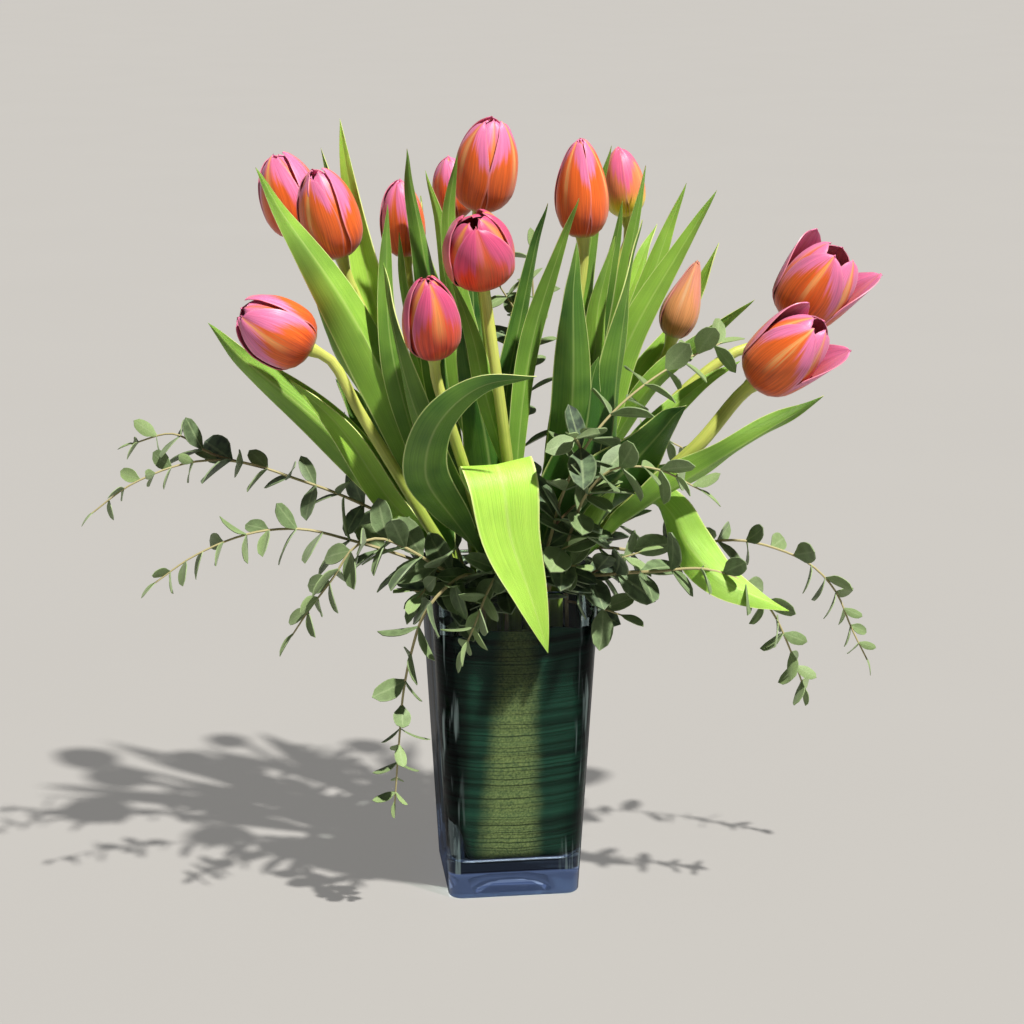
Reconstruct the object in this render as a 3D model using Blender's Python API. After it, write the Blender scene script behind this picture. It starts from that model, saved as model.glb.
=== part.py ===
"""Thirteen tulips with eucalyptus sprays in a square glass vase.

Every tulip is a leafy stem and a bloom. The stems stand in straight holes in the water, fan out
evenly from the vase's floor to its mouth, and bend freely above it. A broad leaf is rolled inside
the glass. Lengths in the tables are millimetres. +X is the right, -Y the front, and the origin is
the middle of the vase's underside.
"""
import math
import random
from typing import NamedTuple

import bmesh
import bpy
from mathutils import Matrix, Vector

MM = 0.001
GAP = 0.3                      # between pieces that rest on each other
WELD = 1e-7                    # metres: closer points are one point
CURVE_STEPS = 12               # points of a smooth path for each hand-set one

# The vase: a tapered square of thick glass with rounded corners
VASE_HEIGHT = 203.0
VASE_TOP = 104.0               # outer side at the rim
VASE_FOOT = 83.0               # outer side at the underside
VASE_WALL = 5.5
VASE_FLOOR = 22.0              # thickness of the solid glass floor
CORNER_TOP = 11.0              # outer corner radius at the rim
CORNER_FOOT = 9.0
RIM_ROUND = 1.2
FOOT_ROUND = 2.0
CORNER_STEPS = 3

# The leaf rolled inside the vase, and the water that it holds
LINING_TOP = 177.0
LINING_WAVE = 2.5              # rise and fall of its upper edge
LINING_THICK = 0.9
LINING_CLEAR = 1.2             # from the glass
LINING_CORNER = 17.0
LINING_OVERLAP = 26.0          # length of the lap at the back
LINING_LAP = 1.6               # how far the inner end steps in
WATER_LEVEL = 150.0
WATER_CLEAR = 4.1              # from the glass to the water inside the roll
WATER_CORNER = 12.0
HOLE_CLEAR = 0.35

# Stems
FEET = 0.66                    # spread of the feet as a share of the spread at the mouth
STRAIGHT_TOP = 165.0           # the stems are straight up to this height
TULIP_RADIUS = 4.0
TULIP_NECK = 3.0               # radius under the bloom
TULIP_SIDES = 6
TULIP_RINGS = 6                # rings of the stem above its straight part
NECK_LENGTH = 14.0             # last stretch of the stem, in line with the bloom
SPRAY_RADIUS = 1.5
SPRAY_TIP = 0.8
SPRAY_SIDES = 4
SPRAY_RINGS = 9
FORK_RADIUS = 1.1
FORK_RINGS = 4
FORK_FIRST = 0.3               # share of a fork below its first pair

# Tulip leaves and petals
BLADE_THICK = 1.0
BLADE_ROWS = (0.0, 0.14, 0.34, 0.56, 0.78)
BENT_ROWS = (0.0, 0.12, 0.25, 0.36, 0.43, 0.50, 0.58, 0.78)      # for blades that bend over
ROOT_FOLD = 35.0               # extra lift of a blade's halves where it clasps the stem
MOST_FOLD = 58.0
PETAL_THICK = 0.9
PETAL_ROWS = (0.0, 0.30, 0.70)
PETAL_COLUMNS = (-1.0, -0.2, 0.2, 1.0)
PETAL_HALF = 0.95              # half-width of a petal as a share of the bloom's radius
PETAL_WRAP = 50.0              # a petal spans at most this angle each way
PETAL_CURL = 0.02              # how much a petal's edges turn in
WHORL_STEP = 2.1               # the outer petals stand this far outside the inner ones
ROOT_STEP = 0.4                # share of that step at the petals' roots
RECEPTACLE = ((0.0, 3.2), (2.6, 6.6), (6.0, 4.5))    # (height, radius) where the petals meet
RECEPTACLE_SIDES = 6          # one under each petal

# Eucalyptus leaves
LEAFLET_THICK = 0.7
LEAFLET_WIDTH = 0.46           # width as a share of length
LEAFLET_DROOP = 0.12
LEAFLET_OUTLINE = ((0.0, 0.0), (0.48, 1.0), (1.0, 0.0))
PAIR_ANGLE = 55.0              # between a leaf and the stem above it
PAIR_TURN = 62.0               # turn from one pair to the next
PAIR_SWAY = 9.0
LAST_PAIR = 5.0                # distance from the last pair to the tip

# Colours and finish
GLASS = ((0.86, 0.93, 0.95, 0.35), 0.03)
WATER = ((0.80, 0.88, 0.86, 0.35), 0.05)
ROLLED_LEAF = ((0.03, 0.09, 0.03, 1.0), 0.35)
STEM_GREEN = ((0.20, 0.42, 0.10, 1.0), 0.45)
SPRAY_GREEN = ((0.15, 0.27, 0.15, 1.0), 0.60)
PETAL_PINK = ((0.80, 0.15, 0.30, 1.0), 0.50)
PETAL_ORANGE = ((0.85, 0.28, 0.09, 1.0), 0.50)


class Blade(NamedTuple):
    """One long leaf of a tulip."""

    root: float                # height on the stem where it grows
    through: tuple             # points that its midrib passes, the last one being its tip
    width: float
    faces: float = -90.0       # bearing of its outer face: 0 is +X, -90 the front
    twist: float = 0.0         # turn of the blade from root to tip
    fold: float = 22.0         # lift of each half of the blade from flat
    rows: tuple = BLADE_ROWS   # shares of its length at which it has a row of points


class Tulip(NamedTuple):
    """One tulip: its place in the mouth, its stem, its bloom and its leaves."""

    name: str
    slot: tuple                # where the stem passes the mouth
    bends: tuple               # points of the stem between mouth and bloom
    base: tuple                # where the bloom sits
    tip: tuple                 # where its petals end
    radius: float
    opening: float             # 0 is closed and 1 is wide open
    spin: float
    colour: tuple
    leaves: tuple


class Spray(NamedTuple):
    """One stem of eucalyptus with small leaves in opposite pairs."""

    name: str
    slot: tuple
    route: tuple
    start: float               # share of the free stem below the first pair
    pitch: float               # distance from pair to pair as a share of a leaf's length
    leaf: tuple                # length of the lowest and of the topmost leaves
    roll: float = 0.0          # turn of the first pair about the stem
    forks: tuple = ()          # (share of the free stem, route of the side shoot)


TULIPS = (
    Tulip("left_back", (-33, 17), ((-60, 27, 270), (-96, 42, 350)), (-121, 51, 408),
          (-136, 55, 458), 18.5, 0.10, 20, PETAL_PINK,
          (Blade(245, ((-62, 44, 300), (-84, 57, 386), (-96, 62, 479)), 22, 90),
           Blade(225, ((-58, 52, 290), (-91, 74, 390), (-108, 78, 460)), 15, 90),
           Blade(250, ((-80, 27, 300), (-104, 30, 340), (-119, 22, 385)), 15, 200),
           Blade(212, ((-50, 34, 245), (-78, 44, 285), (-103, 50, 318)), 34, 110))),
    Tulip("left_upper", (-32, 1), ((-55, 7, 280), (-80, 15, 350)), (-96, 20, 400),
          (-111, 11, 453), 19.0, 0.15, 50, PETAL_PINK,
          (Blade(225, ((-62, -3, 290), (-100, -7, 375), (-150, -6, 457)), 34, -70, 20, 34),
           Blade(240, ((-60, -8, 300), (-74, -12, 360), (-73, -2, 434)), 16, -90))),
    Tulip("left_low", (-33, -14), ((-57, -17, 250), (-92, -19, 312)), (-120, -18, 350),
          (-161, -23, 375), 20.0, 0.20, 0, PETAL_ORANGE,
          (Blade(212, ((-66, -3, 240), (-118, 12, 302), (-181, 14, 362)), 30, 230, 20, 30),
           Blade(220, ((-64, -28, 246), (-98, -36, 300), (-131, -42, 334)), 24, -110))),
    Tulip("back_left", (-17, 30), ((-30, 40, 280), (-50, 50, 350)), (-59, 53, 394),
          (-63, 48, 442), 15.0, 0.05, 30, PETAL_PINK,
          (Blade(230, ((-34, 26, 300), (-47, 25, 377), (-61, 24, 464)), 22, -90, 30, 35),
           Blade(260, ((-52, 37, 330), (-60, 34, 370), (-63, 33, 412)), 13, -120))),
    Tulip("back_middle", (-1, 33), ((-8, 50, 290), (-20, 70, 360)), (-24, 78, 416),
          (-29, 76, 458), 14.0, 0.0, 0, PETAL_PINK,
          (Blade(235, ((-22, 62, 310), (-43, 66, 385), (-47, 68, 430)), 16, 150),
           Blade(215, ((-6, 64, 275), (-8, 92, 345), (-14, 106, 398)), 26, 80))),
    Tulip("tall_middle", (0, 4), ((-5, 8, 290), (-12, 17, 370)), (-14, 24, 426),
          (-7, 11, 482), 19.0, 0.10, 60, PETAL_PINK,
          (Blade(235, ((-22, 8, 300), (-33, 13, 379), (-48, 12, 452)), 16, -100),
           Blade(300, ((-27, 6, 370), (-35, 3, 420), (-30, -3, 464)), 13, -90),
           Blade(240, ((-2, -2, 310), (10, 2, 372), (23, -4, 434)), 15, -70))),
    Tulip("round_front", (2, -26), ((-3, -37, 270), (-12, -43, 340)), (-19, -46, 391),
          (-28, -74, 434), 22.0, 0.30, 60, PETAL_PINK,
          (Blade(210, ((0, -46, 250), (-6, -62, 281), (-8, -73, 289), (-7, -85, 279),
                       (-3, -89, 250), (5, -91, 215), (13, -93, 179)), 42, -90, 0, 6, BENT_ROWS),
           Blade(270, ((-17, -36, 325), (-24, -34, 357), (-37, -26, 394)), 13, -110),
           Blade(235, ((5, -24, 295), (13, -22, 360), (38, -32, 441)), 15, -60))),
    Tulip("front_low", (-14, -27), ((-24, -44, 255), (-42, -64, 315)), (-51, -72, 355),
          (-56, -91, 403), 18.0, 0.10, 0, PETAL_PINK,
          (Blade(222, ((-40, -54, 254), (-58, -76, 285), (-52, -92, 318), (-30, -100, 340),
                       (4, -106, 349)), 27, -110, 0, 18, BENT_ROWS),
           Blade(240, ((-54, -56, 300), (-71, -52, 365), (-77, -42, 405)), 18, -130))),
    Tulip("tall_right", (17, 3), ((31, 3, 295), (43, 5, 365)), (47, 4, 411),
          (44, -1, 471), 16.0, 0.0, 30, PETAL_ORANGE,
          (Blade(215, ((31, -22, 275), (37, -40, 340), (36, -43, 415)), 28, -90, 15, 26),
           Blade(270, ((52, -3, 330), (56, -5, 373), (65, -6, 413)), 15, -80))),
    Tulip("back_right", (20, 31), ((42, 40, 290), (66, 48, 365)), (82, 52, 417),
          (76, 49, 460), 14.0, 0.0, 0, PETAL_ORANGE,
          (Blade(225, ((38, 28, 300), (52, 27, 385), (67, 30, 464)), 16, -90),
           Blade(240, ((52, 20, 320), (63, 14, 376), (73, 14, 432)), 15, -80),
           Blade(255, ((68, 32, 330), (80, 27, 393), (91, 28, 451)), 14, -70),
           Blade(250, ((62, 60, 320), (88, 64, 375), (103, 70, 411)), 18, 60))),
    Tulip("bud_right", (34, 18), ((56, 21, 255), (90, 24, 315)), (107, 25, 344),
          (122, 23, 392), 12.0, 0.0, 45, PETAL_ORANGE,
          (Blade(222, ((57, 16, 292), (79, 14, 345), (112, 16, 442)), 20, -100, 30),
           Blade(222, ((62, 4, 290), (82, -2, 348), (125, -10, 436)), 24, -100, 20),
           Blade(240, ((90, 42, 310), (120, 47, 350), (141, 46, 400)), 18, 60),
           Blade(245, ((90, 4, 318), (120, -2, 346), (150, -16, 375)), 15, -70))),
    Tulip("open_right", (33, -2), ((50, -3, 240), (95, 0, 300), (141, 1, 338)), (173, 1, 359),
          (200, -12, 408), 22.0, 0.50, 90, PETAL_PINK,
          (Blade(214, ((58, -18, 270), (66, -24, 345), (76, -20, 425)), 24, -70, 40, 24),
           Blade(235, ((84, -14, 292), (116, -18, 322), (141, -22, 338)), 15, -100),
           Blade(208, ((52, 14, 228), (98, 24, 252), (142, 36, 262)), 26, 80))),
    Tulip("open_low", (30, -18), ((55, -26, 232), (83, -34, 262), (113, -41, 292)),
          (142, -46, 326), (174, -70, 366), 22.0, 0.42, 60, PETAL_PINK,
          (Blade(206, ((42, -32, 240), (74, -40, 288), (101, -52, 320)), 32, -80, 0, 16),
           Blade(222, ((78, -50, 254), (116, -66, 282), (176, -86, 318)), 18, -60, 0, 40),
           Blade(246, ((86, -30, 257), (101, -28, 240), (116, -31, 213), (143, -36, 195),
                       (171, -41, 185)), 25, -60, 0, 26, BENT_ROWS),
           Blade(214, ((42, -46, 232), (50, -56, 252), (58, -66, 276)), 18, -80, 0, 40))),
)

SPRAYS = (
    Spray("spray_long_left", (-35, 32),
          ((-56, 32, 222), (-100, 24, 248), (-128, 14, 262), (-164, 8, 276), (-195, 6, 277),
           (-231, 2, 265), (-255, 1, 248)), 0.22, 1.2, (21, 14), 80,
          ((0.60, ((-182, 8, 282), (-204, 16, 293), (-230, 22, 286))),)),
    Spray("spray_low_left", (-36, -27),
          ((-55, -31, 218), (-102, -32, 236), (-129, -32, 243), (-159, -34, 242),
           (-193, -37, 230), (-218, -40, 214)), 0.20, 1.2, (20, 14), 70),
    Spray("spray_corner_left", (-31, -36),
          ((-50, -54, 224), (-84, -62, 244), (-99, -66, 240), (-112, -68, 222),
           (-126, -69, 204), (-137, -70, 188)), 0.30, 0.75, (25, 17), 20),
    Spray("spray_trailing", (-20, -36),
          ((-33, -60, 219), (-48, -70, 212), (-59, -72, 198), (-66, -69, 175), (-71, -67, 149),
           (-74, -66, 116), (-77, -64, 76)), 0.30, 1.2, (20, 13), 0),
    Spray("spray_front", (-5, -36),
          ((-12, -60, 220), (-21, -73, 211), (-28, -79, 196), (-36, -81, 178)),
          0.38, 0.9, (16, 12), 0),
    Spray("spray_rising_right", (12, -36),
          ((19, -56, 238), (26, -66, 271), (40, -68, 300), (60, -62, 321), (91, -50, 340),
           (126, -36, 352)), 0.42, 1.0, (21, 15), 30),
    Spray("spray_front_right", (22, -36),
          ((30, -60, 240), (38, -78, 272), (52, -86, 288), (76, -92, 289), (103, -96, 276)),
          0.50, 0.95, (17, 12), 60),
    Spray("spray_long_right", (36, 8),
          ((56, 6, 214), (85, 4, 212), (123, 3, 216), (149, 2, 217), (171, -1, 212),
           (193, -6, 202), (209, -10, 185), (220, -13, 160), (230, -16, 140)),
          0.21, 1.15, (23, 14), 80),
    Spray("spray_drooping_right", (36, -31),
          ((58, -46, 212), (84, -60, 217), (111, -68, 220), (135, -72, 212), (152, -74, 194),
           (164, -73, 170), (175, -70, 142)), 0.25, 1.1, (22, 14), 60),
    Spray("spray_upright_back", (9, 36),
          ((15, 50, 253), (21, 60, 303), (25, 66, 346), (24, 70, 397)), 0.36, 1.3, (21, 15), 0,
          ((0.66, ((16, 62, 350), (2, 58, 374))),)),
    Spray("spray_back_left", (-26, 36),
          ((-44, 62, 232), (-70, 86, 262), (-92, 102, 276), (-112, 112, 272)),
          0.28, 1.4, (23, 15), 60),
    Spray("spray_back_right", (33, 34),
          ((56, 58, 230), (86, 82, 254), (112, 98, 262), (138, 108, 250)),
          0.28, 1.4, (23, 15), 60),
)

# Half-width of a blade and a petal along its length, as shares of the widest
BLADE_OUTLINE = ((0.0, 0.12), (0.14, 0.60), (0.34, 1.0), (0.56, 0.96), (0.78, 0.62), (1.0, 0.0))
PETAL_OUTLINE = ((0.0, 0.0), (0.12, 0.45), (0.30, 0.98), (0.70, 0.92), (0.86, 0.66), (1.0, 0.0))

# Middle line of a petal in a closed and in a wide open bloom, by share of its length
CLOSED_REACH = ((0.0, 0.10), (0.12, 0.66), (0.30, 0.96), (0.50, 1.0), (0.70, 0.88), (1.0, 0.30))
CLOSED_RISE = ((0.0, 0.02), (0.12, 0.12), (0.30, 0.28), (0.50, 0.50), (0.70, 0.74), (1.0, 1.0))
OPEN_REACH = ((0.0, 0.10), (0.12, 0.60), (0.30, 0.95), (0.50, 1.12), (0.70, 1.25), (1.0, 1.50))
OPEN_RISE = ((0.0, 0.02), (0.12, 0.10), (0.30, 0.24), (0.50, 0.45), (0.70, 0.68), (1.0, 0.95))


def blend(low, high, share):
    """Value at a share of the way from one number to another."""
    return low + (high - low) * share


def table(pairs, value):
    """Straight-line reading of a short table of (place, value) pairs."""
    for (x0, y0), (x1, y1) in zip(pairs, pairs[1:]):
        if value <= x1:
            return blend(y0, y1, (value - x0) / (x1 - x0))
    return pairs[-1][1]


def square_to(direction, axis):
    """Unit part of a direction at right angles to an axis."""
    axis = axis.normalized()
    rest = direction - axis * direction.dot(axis)
    if rest.length < 1e-6:
        rest = axis.orthogonal()
    return rest.normalized()


class Path:
    """A line of points, read by its share of length."""

    def __init__(self, points):
        self.points = points
        self.runs = [0.0]
        for start, end in zip(points, points[1:]):
            self.runs.append(self.runs[-1] + (end - start).length)
        self.length = self.runs[-1]

    def at(self, share):
        """Point at a share of the length."""
        reach = min(max(share, 0.0), 1.0) * self.length
        for index in range(1, len(self.runs)):
            if reach <= self.runs[index]:
                break
        run = self.runs[index] - self.runs[index - 1]
        part = (reach - self.runs[index - 1]) / max(run, 1e-9)
        return self.points[index - 1].lerp(self.points[index], part)

    def heading(self, share):
        """Unit direction at a share of the length."""
        return (self.at(share + 0.01) - self.at(share - 0.01)).normalized()

    def share_at_height(self, height):
        """Share of the length at which the line first passes a height."""
        for index, point in enumerate(self.points):
            if point.z >= height:
                return self.runs[index] / self.length
        return 1.0


def curve_point(knots, share):
    """Point of a centripetal Catmull-Rom curve between the middle two of four knots."""
    times = [0.0]
    for start, end in zip(knots, knots[1:]):
        times.append(times[-1] + max((end - start).length, 1e-6) ** 0.5)
    now = blend(times[1], times[2], share)
    level = list(knots)
    for spans in (((0, 1), (1, 2), (2, 3)), ((0, 2), (1, 3)), ((1, 2),)):
        level = [level[i].lerp(level[i + 1], (now - times[low]) / (times[high] - times[low]))
                 for i, (low, high) in enumerate(spans)]
    return level[0]


def smooth_path(points, before=None):
    """Smooth path through hand-set points, which may arrive from a point before the first."""
    knots = [Vector(point) for point in points]
    first = before if before is not None else 2 * knots[0] - knots[1]
    knots = [first] + knots + [2 * knots[-1] - knots[-2]]
    line = []
    for index in range(1, len(knots) - 2):
        four = knots[index - 1:index + 3]
        line += [curve_point(four, step / CURVE_STEPS) for step in range(CURVE_STEPS)]
    return Path(line + [knots[-2]])


def new_object(name, vertices, faces):
    """Closed mesh object from points in millimetres, its faces turned outward."""
    form = bmesh.new()
    corners = [form.verts.new(Vector(vertex) * MM) for vertex in vertices]
    for face in faces:
        form.faces.new([corners[index] for index in face])
    bmesh.ops.remove_doubles(form, verts=form.verts, dist=WELD)
    bmesh.ops.recalc_face_normals(form, faces=form.faces)
    mesh = bpy.data.meshes.new(name)
    form.to_mesh(mesh)
    form.free()
    shape = bpy.data.objects.new(name, mesh)
    bpy.context.scene.collection.objects.link(shape)
    return shape


def loft(name, rings):
    """Solid through a stack of rings with the same number of points, capped at both ends."""
    count = len(rings[0])
    vertices = [point for ring in rings for point in ring]
    faces = [list(range(count)), [len(vertices) - 1 - index for index in range(count)]]
    for level in range(len(rings) - 1):
        low = level * count
        for side in range(count):
            after = (side + 1) % count
            faces.append([low + side, low + after, low + count + after, low + count + side])
    return new_object(name, vertices, faces)


def sheet(name, outer, inner):
    """Thin solid between two faces, each a list of rows. An end row may be a single point."""
    vertices = []
    indexed = []
    for face in (outer, inner):
        rows = []
        for row in face:
            rows.append([len(vertices) + place for place in range(len(row))])
            vertices += row
        indexed.append(rows)
    front, back = indexed
    faces = []
    for level in range(len(front) - 1):
        for rows, turned in ((front, False), (back, True)):
            low, high = rows[level], rows[level + 1]
            cells = []
            if len(low) == 1:
                cells += [(low[0], high[i + 1], high[i]) for i in range(len(high) - 1)]
            elif len(high) == 1:
                cells += [(low[i], low[i + 1], high[0]) for i in range(len(low) - 1)]
            else:
                for i in range(len(low) - 1):
                    cells += [(low[i], low[i + 1], high[i + 1]), (low[i], high[i + 1], high[i])]
            faces += [cell[::-1] if turned else cell for cell in cells]
        for side in (0, -1):
            wall = [front[level][side], front[level + 1][side],
                    back[level + 1][side], back[level][side]]
            faces.append(wall if side == 0 else wall[::-1])
    for level in (0, -1):
        for i in range(len(front[level]) - 1):
            wall = [front[level][i + 1], front[level][i], back[level][i], back[level][i + 1]]
            faces.append(wall if level == 0 else wall[::-1])
    return new_object(name, vertices, faces)


def tube(name, route, radius, sides, sections, end_axis=None):
    """Round stem along a route, its radius read from a function of the share of length."""
    rings = []
    across = square_to(Vector((1, 0, 0)), route.heading(0.0))
    for index, share in enumerate(sections):
        axis = route.heading(share)
        if end_axis is not None and index == len(sections) - 1:
            axis = end_axis
        across = square_to(across, axis)
        along = axis.cross(across)
        centre = route.at(share)
        ring = []
        for side in range(sides):
            angle = 2 * math.pi * side / sides
            ring.append(centre + (across * math.cos(angle) + along * math.sin(angle))
                        * radius(share))
        rings.append(ring)
    return loft(name, rings)


def fuse(name, pieces):
    """Join overlapping solids into one by a single union and remove the pieces."""
    body = pieces[0]
    body.name = name
    if len(pieces) == 1:
        return body
    group = bpy.data.collections.new(name + "_pieces")
    bpy.context.scene.collection.children.link(group)
    for piece in pieces[1:]:
        bpy.context.scene.collection.objects.unlink(piece)
        group.objects.link(piece)
    union = body.modifiers.new("union", "BOOLEAN")
    union.operation = "UNION"
    union.operand_type = "COLLECTION"
    union.collection = group
    union.solver = "EXACT"
    apply_modifiers(body)
    for piece in pieces[1:]:
        bpy.data.objects.remove(piece)
    bpy.data.collections.remove(group)
    return body


def apply_modifiers(shape):
    """Replace an object's mesh by what its modifiers make of it."""
    graph = bpy.context.evaluated_depsgraph_get()
    made = bpy.data.meshes.new_from_object(shape.evaluated_get(graph))
    shape.modifiers.clear()
    shape.data = made


def finish(shape, look, smooth=True):
    """Give an object its own material, and smooth shading where it is round."""
    colour, roughness = look
    material = bpy.data.materials.new(shape.name)
    material.use_nodes = True
    shader = material.node_tree.nodes["Principled BSDF"]
    shader.inputs["Base Color"].default_value = colour
    shader.inputs["Roughness"].default_value = roughness
    shader.inputs["Metallic"].default_value = 0.0
    shader.inputs["Alpha"].default_value = colour[3]
    shape.data.materials.clear()
    shape.data.materials.append(material)
    if smooth:
        shape.data.shade_smooth()
        shape.data.set_sharp_from_angle(angle=math.radians(40))
    return shape


def rounded_square(half, corner, height):
    """Ring of points round a square with rounded corners, from the middle of its back."""
    ring = []
    for quarter in range(4):
        turn = math.radians(90 * quarter)
        for step in range(CORNER_STEPS + 1):
            angle = math.radians(90 * step / CORNER_STEPS)
            x = half - corner + corner * math.cos(angle)
            y = half - corner + corner * math.sin(angle)
            ring.append(Vector((x * math.cos(turn) - y * math.sin(turn),
                                x * math.sin(turn) + y * math.cos(turn), height)))
    return ring


def glass_half(height):
    """Half the vase's outer side at a height."""
    return blend(VASE_FOOT, VASE_TOP, height / VASE_HEIGHT) / 2


def glass_corner(height):
    """Outer corner radius at a height."""
    return blend(CORNER_FOOT, CORNER_TOP, height / VASE_HEIGHT)


def make_vase():
    """Tapered square vase, one body from foot to rim to the floor inside."""
    def outer(height, inset=0.0):
        return rounded_square(glass_half(height) - inset, glass_corner(height) - inset, height)

    def inner(height, inset=0.0):
        wall = VASE_WALL + inset
        return rounded_square(glass_half(height) - wall,
                              max(glass_corner(height) - wall, 4.0), height)

    rings = [outer(0.0, FOOT_ROUND), outer(FOOT_ROUND), outer(VASE_HEIGHT - RIM_ROUND),
             outer(VASE_HEIGHT, RIM_ROUND), inner(VASE_HEIGHT, -RIM_ROUND),
             inner(VASE_HEIGHT - RIM_ROUND), inner(VASE_FLOOR + RIM_ROUND),
             inner(VASE_FLOOR, RIM_ROUND)]
    return finish(loft("vase", rings), GLASS)


def make_lining():
    """Broad leaf rolled inside the glass, its ends lapped at the back."""
    lap = LINING_OVERLAP / 2

    def columns(height, inset):
        half = glass_half(height) - VASE_WALL - LINING_CLEAR - inset
        ring = rounded_square(half, LINING_CORNER - inset, height)
        around = ring[CORNER_STEPS + 1:] + ring[:CORNER_STEPS + 1]
        stepped = half - LINING_LAP
        return ([Vector((lap, half, height))] + around
                + [Vector((lap + 3, stepped, height)), Vector((-lap, stepped, height))])

    faces = []
    for inset in (0.0, LINING_THICK):
        low = columns(VASE_FLOOR + GAP, inset)
        high = []
        for place in range(len(low)):
            wave = LINING_WAVE * math.sin(4 * math.pi * place / len(low) + 1.0)
            high.append(columns(LINING_TOP + wave, inset)[place])
        faces.append([low, high])
    return finish(sheet("lining_leaf", *faces), ROLLED_LEAF)


def straight_part(slot):
    """Foot of a stem on the vase's floor, its point at the end of the straight, and its slot."""
    mouth = Vector((slot[0], slot[1], VASE_HEIGHT))
    foot = Vector((slot[0] * FEET, slot[1] * FEET, VASE_FLOOR + GAP))
    share = (STRAIGHT_TOP - foot.z) / (mouth.z - foot.z)
    return foot, foot.lerp(mouth, share), mouth


def make_water(slots):
    """Block of water inside the roll, with a straight hole for every stem."""
    rings = []
    for height in (VASE_FLOOR + GAP, WATER_LEVEL):
        half = glass_half(height) - VASE_WALL - WATER_CLEAR
        rings.append(rounded_square(half, WATER_CORNER, height))
    water = loft("water", rings)
    group = bpy.data.collections.new("holes")
    bpy.context.scene.collection.children.link(group)
    for index, (slot, radius, sides) in enumerate(slots):
        foot, bend, _ = straight_part(slot)
        path = Path([foot.lerp(bend, -0.05), bend])
        hole = tube(f"hole_{index}", path, lambda share: radius + HOLE_CLEAR, sides, (0.0, 1.0))
        hole.hide_render = True
        hole.display_type = "WIRE"
        bpy.context.scene.collection.objects.unlink(hole)
        group.objects.link(hole)
    cut = water.modifiers.new("holes", "BOOLEAN")
    cut.operation = "DIFFERENCE"
    cut.operand_type = "COLLECTION"
    cut.collection = group
    cut.solver = "EXACT"
    apply_modifiers(water)
    for hole in list(group.objects):
        bpy.data.objects.remove(hole)
    bpy.data.collections.remove(group)
    return finish(water, WATER, smooth=False)


def make_blade(name, leaf, stem):
    """Long folded leaf that grows out of a stem."""
    root = stem.share_at_height(leaf.root)
    route = smooth_path([stem.at(root), *leaf.through])
    bearing = math.radians(leaf.faces)
    normal = Vector((math.cos(bearing), math.sin(bearing), 0))
    outer = []
    inner = []
    for share in leaf.rows + (1.0,):
        axis = route.heading(share)
        normal = square_to(normal, axis)
        facing = Matrix.Rotation(math.radians(leaf.twist * share), 3, axis) @ normal
        side = axis.cross(facing)
        half = leaf.width / 2 * table(BLADE_OUTLINE, share)
        lift = math.radians(min(leaf.fold + ROOT_FOLD * (1 - share) ** 3, MOST_FOLD))
        centre = route.at(share)
        if half == 0:
            outer.append([centre + facing * BLADE_THICK / 2])
            inner.append([centre - facing * BLADE_THICK / 2])
            continue
        rows = ([], [])
        for place in (-1, 0, 1):
            reach = half * abs(place)
            point = centre + side * place * reach * math.cos(lift) - facing * reach * math.sin(lift)
            across = facing * math.cos(lift) + side * place * math.sin(lift)
            depth = BLADE_THICK / 2
            if place == 0:
                across = facing
                depth /= math.cos(lift)
            rows[0].append(point + across * depth)
            rows[1].append(point - across * depth)
        outer.append(rows[0])
        inner.append(rows[1])
    return sheet(name, outer, inner)


def make_tulip_stem(tulip):
    """Stem from the vase's floor to the bloom, with its leaves fused to it."""
    base = Vector(tulip.base)
    axis = (Vector(tulip.tip) - base).normalized()
    foot, straight, mouth = straight_part(tulip.slot)
    route = smooth_path([foot, straight, mouth, *tulip.bends, base - axis * NECK_LENGTH, base])
    bend = route.share_at_height(STRAIGHT_TOP)

    def radius(share):
        return blend(TULIP_RADIUS, TULIP_NECK, max(0.0, share - bend) / (1 - bend))

    sections = [0.0] + [blend(bend, 1.0, step / TULIP_RINGS) for step in range(TULIP_RINGS + 1)]
    pieces = [tube(tulip.name + "_stem", route, radius, TULIP_SIDES, sections, axis)]
    for index, leaf in enumerate(tulip.leaves):
        pieces.append(make_blade(f"{tulip.name}_leaf_{index}", leaf, route))
    return finish(fuse(tulip.name + "_stem", pieces), STEM_GREEN)


def petal_profile(share, opening):
    """Distance from the axis and height of a petal's middle line, as shares of the bloom."""
    out = blend(table(CLOSED_REACH, share), table(OPEN_REACH, share), opening)
    up = blend(table(CLOSED_RISE, share), table(OPEN_RISE, share), opening)
    return out, up


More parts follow.
